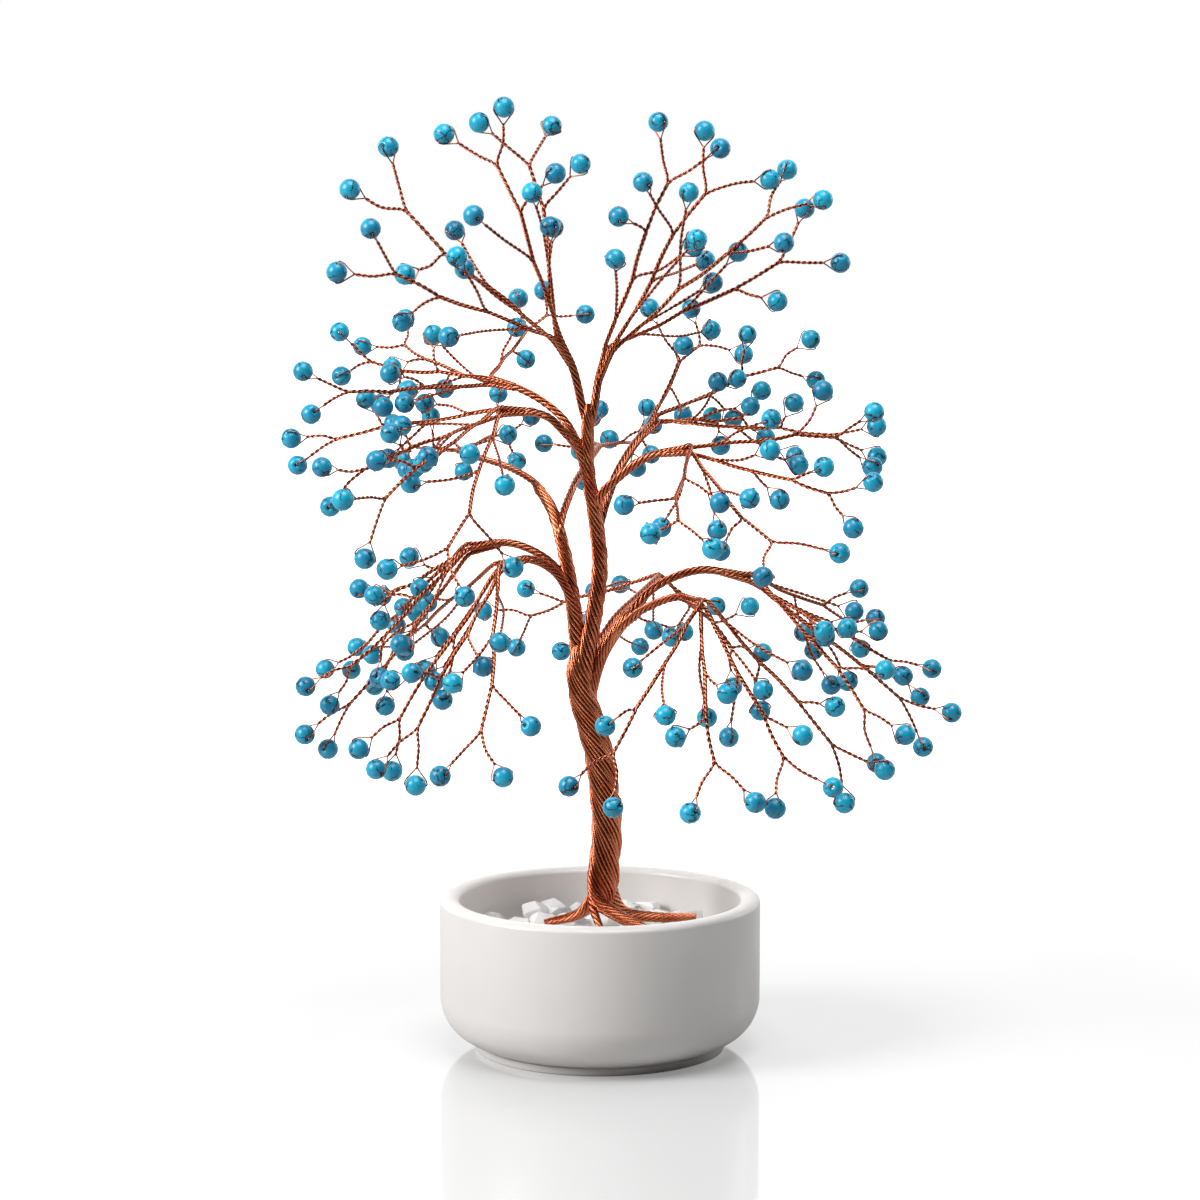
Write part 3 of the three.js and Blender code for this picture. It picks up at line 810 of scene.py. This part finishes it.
def grown(mesh: Mesh, name: str, tree: NodeTree, values: dict) -> Object:
    """Runs a Geometry Nodes tree over a mesh and keeps the result as a plain mesh.

    Args:
        mesh: what the tree starts from.
        name: the new piece's name.
        tree: the Geometry Nodes tree.
        values: for each of the tree's inputs, its value.

    Returns:
        The piece, at the origin.
    """
    source = placed(mesh, f"{name}_source")
    modifier = source.modifiers.new("grow", "NODES")
    modifier.node_group = tree
    for item in tree.interface.items_tree:
        if item.in_out == "INPUT" and item.name in values:
            modifier[item.identifier] = values[item.name]
    graph = bpy.context.evaluated_depsgraph_get()
    result = bpy.data.meshes.new_from_object(source.evaluated_get(graph))
    result.name = name
    bpy.data.objects.remove(source)
    return placed(result, name)


def lathe(name: str, profile: Sequence[Span], segments: int, closed: bool) -> Mesh:
    """Turns a profile round Z.

    Args:
        name: the mesh's name.
        profile: radius and height of each point, in millimetres, with the material on its left.
        segments: how many steps there are round the axis.
        closed: whether the profile closes on itself instead of ending on the axis.

    Returns:
        A closed mesh in metres.
    """
    form = bmesh.new()
    rings = []
    for radius, height in profile:
        if radius < HAIRLINE:
            rings.append([form.verts.new((0, 0, height * MM))] * segments)
            continue
        rings.append([form.verts.new((radius * MM * math.cos(2 * math.pi * k / segments),
                                      radius * MM * math.sin(2 * math.pi * k / segments), height * MM))
                      for k in range(segments)])
    pairs = list(zip(rings, rings[1:]))
    if closed:
        pairs.append((rings[-1], rings[0]))
    for low, high in pairs:
        for k in range(segments):
            corners = [low[k], low[(k + 1) % segments], high[(k + 1) % segments], high[k]]
            unique = list(dict.fromkeys(corners))
            if len(unique) > 2:
                form.faces.new(unique)
    bmesh.ops.recalc_face_normals(form, faces=form.faces)
    for face in form.faces:
        face.smooth = True
    mesh = bpy.data.meshes.new(name)
    form.to_mesh(mesh)
    form.free()
    return mesh


def keep(piece: Object, nodes: Iterable[str] = ()) -> None:
    """Ties a piece to the object's body and reports it.

    Args:
        piece: the piece.
        nodes: the nodes that it stands for.
    """
    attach(piece, "root")
    if nodes:
        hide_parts(*nodes)
    LOG.info("%s: %d faces", piece.name, len(piece.data.polygons))


@dataclass
class Beads:
    """Drilled round beads, gathered as points that one bead is copied to."""

    radius: float = BEAD_RADIUS
    bore: float = 0.55
    segments: int = 14
    arc_steps: int = 7
    places: list[Vector] = field(default_factory=list)
    turns: list[Vector] = field(default_factory=list)
    sizes: list[float] = field(default_factory=list)

    def model(self) -> Object:
        """Builds the bead that is copied.

        Returns:
            One bead with its bore along Z.
        """
        mouth = math.asin(self.bore / self.radius)
        angles = [mouth + (math.pi - 2 * mouth) * step / self.arc_steps for step in range(self.arc_steps + 1)]
        profile = [(self.radius * math.sin(angle), self.radius * math.cos(angle)) for angle in angles]
        return placed(lathe("bead_model", profile, self.segments, closed=True), "bead_model")

    def thread(self, place: Vector, bore: Vector, size: float) -> None:
        """Adds a bead.

        Args:
            place: its middle, in millimetres.
            bore: the direction of its hole.
            size: its size as a share of the usual one.
        """
        turn = Vector((0, 0, 1)).rotation_difference(bore).to_euler()
        self.places.append(place)
        self.turns.append(Vector(turn))
        self.sizes.append(size)

    def mesh(self, name: str) -> Mesh:
        """Builds the beads' places as a mesh of points with their attributes.

        Args:
            name: the mesh's name.

        Returns:
            The mesh.
        """
        mesh = bpy.data.meshes.new(name)
        mesh.from_pydata([place * MM for place in self.places], [], [])
        flat = [number for turn in self.turns for number in turn]
        mesh.attributes.new("turn", "FLOAT_VECTOR", "POINT").data.foreach_set("vector", flat)
        mesh.attributes.new("size", "FLOAT", "POINT").data.foreach_set("value", self.sizes)
        return mesh


@dataclass(frozen=True)
class WireEye:
    """The eye that holds a bead: one wire round it and through its hole, in millimetres."""

    # The twisted pair ends this gap before its bead. The eye starts tucked into the pair and then
    # parts aside and ahead.
    gap: float = 1.5
    tuck: float = 0.3
    parting: Span = (0.75, 0.45)
    # It hugs the bead at these angles, bedded by a share of its radius, and turns into the bore
    hug_degrees: tuple[int, ...] = (48, 32, 16)
    hug_share: float = 0.9
    shoulder: float = 0.25
    bore_depth: float = 0.4
    steps: int = 40

    def centre(self, close: Vector, heading: Vector) -> Vector:
        """The bead's middle, ahead of the place where its twisted pair ends."""
        return close + heading * (BEAD_RADIUS + self.gap)

    def way(self, close: Vector, heading: Vector, bore: Vector) -> list[Vector]:
        """Finds the wire's way round and through its bead.

        Args:
            close: where the twisted pair ends.
            heading: its direction there.
            bore: the direction of the bead's hole.

        Returns:
            The points of a wire that leaves the pair, hugs the bead to its hole, goes through it
            and comes back down the other side.
        """
        hug = BEAD_RADIUS + EYE_WIRE_RADIUS * self.hug_share
        centre = self.centre(close, heading)
        aside, ahead = self.parting
        leg = [close + bore * WIRE_RADIUS - heading * self.tuck, close + bore * aside + heading * ahead]
        for degrees in self.hug_degrees:
            angle = math.radians(degrees)
            leg.append(centre + bore * hug * math.cos(angle) - heading * hug * math.sin(angle))
        leg += [centre + bore * hug - heading * self.shoulder,
                centre + bore * (BEAD_RADIUS - self.bore_depth)]
        back = [point - bore * 2 * (point - centre).dot(bore) for point in reversed(leg)]
        route = Route([*leg, centre, *back])
        return [route.at(route.length * step / self.steps) for step in range(self.steps + 1)]


@dataclass
class Spray:
    """A twisted stem that forks four times, with a bead at the end of every twig."""

    lead_in: list[Vector]
    root: Vector
    fan: Fan
    seed: int
    eye: WireEye = WireEye()
    lay: float = 0.48
    stem_strands: tuple[int, ...] = (4, 3, 3, 2)
    # How far each fork lies from the last one towards the middle of the tips that are left
    fork_pull: tuple[float, ...] = (0.17, 0.3, 0.4, 0.5)
    # A twig starts tucked into the stem, turns forward and aside, and bows at its bend
    stem_bow: float = 0.03
    twig_bow: float = 0.05
    twig_tuck: float = 0.6
    twig_turn: Span = (0.5, 0.06)
    twig_bend: float = 0.55
    bead_spread: float = 0.025

    def tips(self) -> list[Vector]:
        """Places the spray's tips.

        Returns:
            The middles of its five beads.
        """
        end = sighted(self.fan.u, self.fan.v, self.fan.depth)
        heading = end - self.root
        reach = heading.length
        heading.normalize()
        across = Vector((-heading.z, 0, heading.x)).normalized()
        across.rotate(Quaternion(heading, math.radians(self.fan.turn)))
        out = heading.cross(across)
        places = []
        for i, (along, side, lift) in enumerate(FAN_TIPS):
            inner = 1 if along < 1 else 0
            width = max(self.fan.spread, INNER_SPREAD) if inner else self.fan.spread
            further = along + inner * FAN_WOBBLE[0] * wobble(self.seed + i)
            sideways = side + inner * FAN_WOBBLE[1] * wobble(self.seed + i + 0.3)
            lifted = lift + FAN_WOBBLE[2] * wobble(self.seed + i + 0.6)
            places.append(self.root + heading * reach * further + across * width * sideways
                          + out * width * lifted)
        return places

    def build(self, wires: WirePaths, beads: Beads) -> None:
        """Lays the spray's wires and threads its beads.

        Args:
            wires: the paths to add to.
            beads: the beads to add to.
        """
        tips = self.tips()
        forks = []
        last = self.root
        for i, pull in enumerate(self.fork_pull):
            last = last.lerp(mean(tips[i:]), pull)
            forks.append(last)
        self._stem(wires, [*self.lead_in, self.root, *forks])
        for i, tip in enumerate(tips):
            k = min(i, len(forks) - 1)
            below = forks[k - 1] if k else self.root
            self._twig(wires, beads, forks[k], (forks[k] - below).normalized(), tip, self.seed + i)

    def _stem(self, wires: WirePaths, nodes: list[Vector]) -> None:
        """Lays the stem in stretches between its forks, each with no more wires than the last.

        Args:
            wires: the paths to add to.
            nodes: the stem's way in, its root and its forks.
        """
        first = len(nodes) - len(self.stem_strands)
        for i, strands in enumerate(self.stem_strands):
            stretch = nodes[:first + 1] if i == 0 else nodes[first + i - 1:first + i + 1]
            girth = STEM_WIRE_RADIUS / math.sin(math.pi / strands)
            if len(stretch) == 2:
                bow = (stretch[1] - stretch[0]).length * self.stem_bow
                middle = mean(stretch) + swerve(self.seed + i, (0, 0.1, 0.2)) * bow
                stretch = [stretch[0], middle, stretch[1]]
            wires.add_bundle(Route(stretch), (girth, girth), strands, self.lay, gauge=STEM_WIRE_RADIUS)

    def _twig(self, wires: WirePaths, beads: Beads, fork: Vector, stem: Vector, tip: Vector,
              seed: int) -> None:
        """Lays one twisted pair from its fork to its bead, and the eye that holds the bead.

        Args:
            wires: the paths to add to.
            beads: the beads to add to.
            fork: where the twig leaves the stem.
            stem: the stem's direction there.
            tip: where the bead is wanted.
            seed: what the twig's bow and its bead's size are drawn from.
        """
        reach = tip - fork
        bow = swerve(seed, (0.15, 0.35, 0.55)) * reach.length * self.twig_bow
        close = tip - reach.normalized() * (BEAD_RADIUS + self.eye.gap)
        forward, aside = self.twig_turn
        route = Route([fork - stem * self.twig_tuck, fork + stem * forward + reach * aside,
                       fork.lerp(close, self.twig_bend) + bow, close])
        bore, heading = wires.add_bundle(route, (WIRE_RADIUS, WIRE_RADIUS), 2, self.lay)
        wires.add_single(self.eye.way(close, heading, bore), EYE_WIRE_RADIUS)
        size = 1 - self.bead_spread + self.bead_spread * wobble(seed + 0.8)
        beads.thread(self.eye.centre(close, heading), bore, size)


@dataclass
class Limb:
    """A twisted limb and the sprays that it parts into."""

    plan: LimbPlan
    lay: float = 0.45
    dive: float = 3.0
    core_strands: int = 3
    core_step: float = 0.5
    fewest_strands: int = 5
    # How far back from the limb's end a spray's stem starts, in millimetres and at most as a share
    lead: float = 9.0
    longest_lead: float = 0.7
    near_end: float = 2.5
    # How far a stem has gone towards its own root, where it starts and near the limb's end
    lead_spread: Span = (0.45, 0.75)
    # Where the sprays leave the limb: a ring round its end, and how far ahead of the end it is
    ring: float = 1.5
    clearance: float = 0.5
    # The same where the limb and its sprays are one node, and so may touch
    joined_ring: float = 0.375
    joined_clearance: float = -0.3

    def strands(self) -> int:
        """Counts the wires that fit round the limb side by side.

        Returns:
            Their number.
        """
        girth = sum(self.plan.radii) / 2 - LIMB_WIRE_RADIUS
        around = math.floor(math.pi * girth / LIMB_WIRE_RADIUS * math.cos(math.atan(self.lay)))
        return max(self.fewest_strands, around)

    def spray_roots(self, route: Route) -> list[Vector]:
        """Finds where each spray leaves the limb, in the order of their headings round its end.

        Args:
            route: the limb's middle line.

        Returns:
            One place for each spray.
        """
        ring = self.ring if self.plan.spray_nodes else self.joined_ring
        clearance = self.clearance if self.plan.spray_nodes else self.joined_clearance
        end, tangent = route.at(route.length), route.tangent(route.length)
        side = Vector((0, 1, 0)).cross(tangent).normalized()
        rise = tangent.cross(side)
        angles = []
        for fan in self.plan.fans:
            heading = sighted(fan.u, fan.v, fan.depth) - end
            angles.append(math.atan2(heading.dot(rise), heading.dot(side)))
        order = sorted(range(len(angles)), key=lambda i: angles[i])
        slot = 2 * math.pi / max(len(order), 1)
        lag = [angles[i] - rank * slot for rank, i in enumerate(order)]
        phase = math.atan2(sum(map(math.sin, lag)), sum(map(math.cos, lag)))
        roots = []
        for i in range(len(angles)):
            angle = phase + order.index(i) * slot
            roots.append(end + tangent * clearance + (side * math.cos(angle) + rise * math.sin(angle)) * ring)
        return roots

    def build(self, wires: WirePaths, beads: Beads, seed: int) -> int:
        """Lays the limb and its sprays.

        Args:
            wires: the paths to add to.
            beads: the beads to add to.
            seed: the number of tips built before this limb.

        Returns:
            The number of tips built after it.
        """
        route = self.plan.middle_line()
        start, end = (radius - LIMB_WIRE_RADIUS for radius in self.plan.radii)
        wires.add_bundle(route, (start, end), self.strands(), self.lay, self.dive, LIMB_WIRE_RADIUS)
        wires.add_bundle(route, (start - self.core_step, end - self.core_step), self.core_strands, self.lay,
                         self.dive, LIMB_WIRE_RADIUS)
        tip = route.at(route.length)
        far, near = self.lead_spread
        for root, fan in zip(self.spray_roots(route), self.plan.fans):
            seed += len(FAN_TIPS)
            back = max(route.length - self.lead, route.length * (1 - self.longest_lead))
            lead_in = [route.at(back) + (root - tip) * far,
                       route.at(route.length - self.near_end) + (root - tip) * near]
            Spray(lead_in, root, fan, seed).build(wires, beads)
        return seed


@dataclass
class Trunk:
    """The trunk's bundle, its two stems and its roots."""

    lay: float = 0.53
    root_lay: float = 0.5
    closing: float = 9.0
    stem_closing: float = 4.0
    lobes: int = 5
    stem_lobes: int = 4
    # How far the inner layer lies under the outer one, in wire radii
    layer_step: float = 1.5
    thinnest_layer: float = 0.1
    fewest_strands: int = 4

    def build(self, wires: WirePaths) -> None:
        """Lays the trunk, the stems and the roots.

        Args:
            wires: the paths to add to.
        """
        self._layers(wires, Route([sighted(*point) for point in TRUNK_ROUTE]), TRUNK_RADII, self.lay,
                     TRUNK_WIRE_RADIUS, self.lobes, self.closing, self.closing)
        for stem in STEMS:
            self._layers(wires, stem.middle_line(), stem.radii, self.lay, TRUNK_WIRE_RADIUS, self.stem_lobes,
                         self.stem_closing)
        for root in ROOTS:
            self._layers(wires, root.middle_line(), root.radii, self.root_lay, LIMB_WIRE_RADIUS)

    def _layers(self, wires: WirePaths, route: Route, radii: Span, lay: float, gauge: float,
                lobes: int = 0, dive: float = 0.0, rise: float = 0.0) -> None:
        """Lays an outer layer of wires side by side and one under it.

        Args:
            wires: the paths to add to.
            route: the bundle's middle line.
            radii: the bundle's radii at both ends.
            lay: the slope of the strands against the middle line.
            gauge: the wires' radius.
            lobes: how many smaller bundles show in the whole one.
            dive: over how many millimetres the bundle closes up at its far end, or 0.
            rise: over how many millimetres it opens out at its near end, or 0.
        """
        outer = tuple(radius - gauge for radius in radii)
        inner = tuple(max(radius - self.layer_step * gauge, self.thinnest_layer) for radius in outer)
        for layer in (outer, inner):
            strands = math.floor(math.pi * sum(layer) / 2 * math.cos(math.atan(lay)) / gauge)
            wires.add_bundle(route, layer, max(self.fewest_strands, strands), lay, dive, gauge, lobes, rise)


@dataclass
class Bowl:
    """The glazed bowl: an upright wall, a rounded turn and a low foot."""

    radius: float = 45.8
    height: float = 44
    wall: float = 5.6
    floor: float = 5
    turn_height: float = 14.6
    bend: Span = (0.9, 5.2)
    foot_radius: float = 35.7
    foot_height: float = 2.2
    foot_step: float = 0.7
    # The foot's worn edges: inwards from its face, and up from the ground or down from its top
    low_edge: tuple[Span, ...] = ((0.4, 0), (0.12, 0.12), (0, 0.4))
    high_edge: tuple[Span, ...] = ((0, 0.45), (0.15, 0.12))
    floor_edge: float = 1
    rim_flatness: float = 0.6
    segments: int = 160
    curve_steps: int = 18

    def outline(self, inset: float) -> list[Span]:
        """Draws the rounded turn from the waist up to the wall.

        Args:
            inset: how far inside the outer face it lies.

        Returns:
            Radius and height of each point, from the waist up.
        """
        radius = self.radius - inset
        waist = self.foot_radius - self.foot_step - inset
        start, end = (waist, self.foot_height + inset), (radius, self.turn_height)
        bend = (radius - self.bend[0], self.bend[1] + inset)
        points = []
        for step in range(self.curve_steps + 1):
            t = step / self.curve_steps
            points.append(tuple((1 - t) ** 2 * a + 2 * t * (1 - t) * b + t ** 2 * c
                                for a, b, c in zip(start, bend, end)))
        return points

    def profile(self) -> list[Span]:
        """Draws the whole section.

        Returns:
            Its points, from the middle of the underside round to the middle of the floor.
        """
        lip = self.wall / 2
        rim = []
        for step in range(self.curve_steps + 1):
            angle = math.pi * step / self.curve_steps
            rim.append((self.radius - lip + lip * math.cos(angle),
                        self.height - lip * self.rim_flatness * (1 - math.sin(angle))))
        inside = [point for point in reversed(self.outline(self.wall))
                  if point[1] > self.floor + self.floor_edge]
        foot = [(self.foot_radius - inwards, up) for inwards, up in self.low_edge]
        foot += [(self.foot_radius - inwards, self.foot_height - down) for inwards, down in self.high_edge]
        floor = [(self.foot_radius - self.wall, self.floor), (0, self.floor)]
        return [(0, 0), *foot, *self.outline(0), *rim, *inside, *floor]

    def build(self, glaze: Material) -> None:
        """Turns the bowl and keeps it in place of its node.

        Args:
            glaze: the bowl's material.
        """
        mesh = lathe("glazed_bowl", self.profile(), self.segments, closed=False)
        mesh.materials.append(glaze)
        keep(placed(mesh, "glazed_bowl"), ["pot"])


@dataclass
class QuartzBed:
    """Broken quartz chips heaped in the bowl round the roots."""

    reach: float = 36.0
    count: int = 84
    smallest: float = 4.6
    largest: float = 8.0
    width_to_radius: float = 1.35
    corners: int = 15
    corner_span: Span = (0.85, 1)
    # A chip's lopsidedness along each way, and its tilt in radians
    squash: tuple[Span, ...] = ((0.8, 1.25), (0.75, 1.1), (0.5, 0.8))
    tilt: float = 0.6
    # How far chance turns and lifts its place, how deep it sits and where the heap rises
    stray: float = 0.2
    sink: float = 1.4
    jumble: Span = (-0.8, 1.0)
    heap_height: float = 1.6
    heap_side: float = math.radians(140)
    # How near a root may come, in chip radii and millimetres, and how far a chip sinks under one
    root_room: Span = (0.8, 0.6)
    root_sink: float = 0.62
    worn_edge: float = 0.18
    seed: int = 11
    fill_radius: float = 38.6
    fill_depth: float = 4
    fill_segments: int = 48

    def _chip(self, form: bmesh.types.BMesh, chance: random.Random, place: Vector, size: float) -> None:
        """Adds one chip: the hull of a few points on a lopsided ball.

        Args:
            form: the mesh to add to.
            chance: what its shape is drawn from.
            place: its middle, in millimetres.
            size: its radius.
        """
        squash = Vector([chance.uniform(*span) for span in self.squash])
        spin = Matrix.Rotation(chance.uniform(0, 2 * math.pi), 3, "Z")
        turn = spin @ Matrix.Rotation(chance.uniform(-self.tilt, self.tilt), 3, "X")
        verts = []
        for _ in range(self.corners):
            ball = Vector([chance.gauss(0, 1) for _ in range(3)]).normalized()
            corner = Vector([a * b for a, b in zip(ball, squash)]) * size * chance.uniform(*self.corner_span)
            verts.append(form.verts.new((place + turn @ corner) * MM))
        hull = bmesh.ops.convex_hull(form, input=verts)
        loose = {item for item in hull["geom_interior"] + hull["geom_unused"]
                 if isinstance(item, bmesh.types.BMVert)}
        bmesh.ops.delete(form, geom=list(loose), context="VERTS")

    def _chips(self, roots: Sequence[Vector]) -> Mesh:
        """Heaps the chips.

        Args:
            roots: points on the roots, which the upper chips keep clear of.

        Returns:
            All the chips in one mesh.
        """
        chance = random.Random(self.seed)
        form = bmesh.new()
        golden = math.pi * (3 - math.sqrt(5))
        for i in range(self.count):
            radius = self.reach * math.sqrt((i + 0.5) / self.count)
            angle = i * golden + chance.uniform(-self.stray, self.stray)
            size = chance.uniform(self.smallest, self.largest) / self.width_to_radius
            heap = self.heap_height * max(0, math.cos(angle - self.heap_side)) * radius / self.reach
            place = Vector((radius * math.cos(angle), radius * math.sin(angle),
                            BED_LEVEL - self.sink + heap + chance.uniform(*self.jumble)))
            nearest = min(Vector((root.x - place.x, root.y - place.y)).length for root in roots)
            if nearest < size * self.root_room[0] + self.root_room[1]:
                place.z = BED_LEVEL - size * self.root_sink
            self._chip(form, chance, place, size)
        mesh = bpy.data.meshes.new("quartz_chips")
        form.to_mesh(mesh)
        form.free()
        return mesh

    def build(self, stone: Material, roots: Sequence[Vector]) -> None:
        """Heaps the chips in place of their node, over a fill that closes the gaps between them.

        Args:
            stone: the chips' material.
            roots: points on the roots, which the upper chips keep clear of.
        """
        mesh = self._chips(roots)
        mesh.materials.append(stone)
        chips = placed(mesh, "quartz_chips")
        bevel = chips.modifiers.new("worn_edges", "BEVEL")
        bevel.width = self.worn_edge * MM
        bevel.segments = 2
        keep(chips, ["stone_bed"])
        top = BED_LEVEL - self.fill_depth
        outline = [(0, 6), (30, 6), (self.fill_radius, 16), (self.fill_radius, top), (0, top)]
        fill = lathe("quartz_fill", outline, self.fill_segments, closed=False)
        fill.materials.append(stone)
        keep(placed(fill, "quartz_fill"))


@dataclass(frozen=True)
class Softbox:
    """A square soft light: where it hangs, what it faces, its side and its power, in metres and watts."""

    name: str
    place: Point
    target: Point
    side: float
    watts: float

    def hang(self) -> None:
        """Hangs the light."""
        lamp = bpy.data.lights.new(self.name, "AREA")
        lamp.size = self.side
        lamp.energy = self.watts
        light = placed(lamp, self.name)
        light.location = self.place
        aim = Vector(self.target) - Vector(self.place)
        light.rotation_euler = aim.to_track_quat("-Z", "Y").to_euler()


SOFTBOXES = (
    Softbox("key_softbox", (-1.15, -0.5, 0.78), (0, 0, 0.16), 0.6, 18.5),
    Softbox("top_softbox", (0.1, -0.3, 1.25), (0, 0, 0.1), 0.7, 11.5),
    Softbox("rim_strip", (0.8, 0.45, 0.35), (0, 0, 0.12), 0.3, 1),
)


@dataclass
class Studio:
    """The white gloss floor, the soft lights, the white room behind and the camera."""

    floor_size: float = 12.0
    floor_white: str = "#bebebe"
    floor_roughness: float = 0.05
    # Glow painted on the floor for the camera only: weak near the tree and white far from it
    painted_floor_glow: float = 0.2
    painted_far_glow: float = 1.1
    # How far from the tree the floor's painted glow starts to rise, and is white, in metres
    painted_glow_reach: Span = (0.17, 0.6)
    room: float = 0.06
    backdrop: float = 1.25
    # How far behind the tree a direction points where the backdrop starts, and is full, up to 1
    backdrop_edge: Span = (0.35, 0.8)

    def build(self) -> None:
        """Sets the stage."""
        bpy.context.scene.view_settings.view_transform = "Standard"
        self._floor()
        self._world()
        for softbox in SOFTBOXES:
            softbox.hang()
        self._camera()

    def _floor(self) -> None:
        """Lays a plain white gloss floor with a painted glow that only the camera sees, weak near the
        tree and white away from it."""
        mesh = bpy.data.meshes.new("floor")
        half = self.floor_size / 2
        corners = [(-half, -half, 0), (half, -half, 0), (half, half, 0), (-half, half, 0)]
        mesh.from_pydata(corners, [], [(0, 1, 2, 3)])
        material, tree, place, shader = new_shader("white_gloss_floor")
        away = add_node(tree, "ShaderNodeVectorMath", {0: place}, operation="LENGTH").outputs["Value"]
        start, full = self.painted_glow_reach
        fade = add_node(tree, "ShaderNodeMapRange",
                        {"Value": away, "From Min": start, "From Max": full, "To Min": self.painted_floor_glow,
                         "To Max": self.painted_far_glow}, interpolation_type="SMOOTHSTEP").outputs["Result"]
        # The painted glow reaches the camera only and lights nothing
        seen = add_node(tree, "ShaderNodeLightPath").outputs["Is Camera Ray"]
        camera_glow = add_node(tree, "ShaderNodeMath", {0: seen, 1: fade}, operation="MULTIPLY").outputs[0]
        feed(shader, {"Base Color": linear(self.floor_white), "Roughness": self.floor_roughness,
                      "Emission Color": (1, 1, 1, 1), "Emission Strength": camera_glow})
        mesh.materials.append(material)
        placed(mesh, "floor")

    def _world(self) -> None:
        """Hangs a white backdrop, which the gloss sees behind the tree, in a dim room."""
        world = bpy.data.worlds.new("studio")
        world.use_nodes = True
        tree = world.node_tree
        way = add_node(tree, "ShaderNodeTexCoord").outputs["Generated"]
        back = add_node(tree, "ShaderNodeSeparateXYZ", {0: way}).outputs["Y"]
        start, full = self.backdrop_edge
        room = add_node(tree, "ShaderNodeMapRange",
                        {"Value": back, "From Min": start, "From Max": full, "To Min": self.room,
                         "To Max": self.backdrop}).outputs["Result"]
        seen = add_node(tree, "ShaderNodeLightPath").outputs["Is Camera Ray"]
        strength = add_node(tree, "ShaderNodeMix", {"Factor": seen, "A": room, "B": 1.0}).outputs["Result"]
        feed(tree.nodes["Background"], {"Strength": strength, "Color": (1, 1, 1, 1)})
        bpy.context.scene.world = world

    def _camera(self) -> None:
        """Sets the camera where the tree is seen from."""
        camera = bpy.data.cameras.new("front_camera")
        camera.sensor_width = SENSOR_MM
        camera.lens = SENSOR_MM * VIEW_FOCAL / VIEW_WIDTH
        eye = placed(camera, "front_camera")
        eye.location = EYE * MM
        eye.rotation_euler = (math.pi / 2 - VIEW_PITCH, 0, 0)
        bpy.context.scene.camera = eye


def build_tree(copper: Material, stone: Material) -> None:
    """Builds the trunk, the limbs, the sprays and the beads.

    Args:
        copper: the wires' material.
        stone: the beads' material.
    """
    layer, threader = strand_layer(), bead_threader()
    metal = {"Lobe depth": LOBE_DEPTH, "Sides": WIRE_SIDES, "Metal": copper}
    trunk = WirePaths()
    Trunk().build(trunk)
    thick = {**metal, "Sides": TRUNK_WIRE_SIDES}
    keep(grown(trunk.mesh("trunk_paths"), "trunk_wires", layer, thick), ["trunk"])
    model = Beads().model()
    seed = 0
    for plan in LIMBS:
        wires, beads = WirePaths(), Beads()
        seed = Limb(plan).build(wires, beads, seed)
        piece = grown(wires.mesh(f"{plan.name}_paths"), f"{plan.name}_wires", layer, metal)
        keep(piece, [f"{plan.name}_limb"])
        if not plan.fans:
            continue
        strung = grown(beads.mesh(f"{plan.name}_places"), f"{plan.name}_beads", threader,
                       {"Bead": model, "Stone": stone})
        sprays = [f"{plan.name}_spray_{i + 1}" for i in range(len(plan.fans))] if plan.spray_nodes else []
        keep(strung, sprays)
    bpy.data.objects.remove(model)


def root_marks() -> list[Vector]:
    """Marks the part of every root that lies on the chips.

    Returns:
        Points along the outer five ninths of each root.
    """
    marks = []
    for root in ROOTS:
        way = root.middle_line()
        marks += [way.at(way.length * share / 9) for share in range(4, 10)]
    return marks


def main() -> None:
    """Builds the stage and every piece in order."""
    logging.basicConfig(level=logging.INFO, format="%(name)s %(message)s")
    Studio().build()
    Bowl().build(WhiteGlaze().material())
    QuartzBed().build(MilkyQuartz().material(), root_marks())
    build_tree(CopperWire().material(), DyedHowlite().material())


if __name__ == "__main__":
    main()
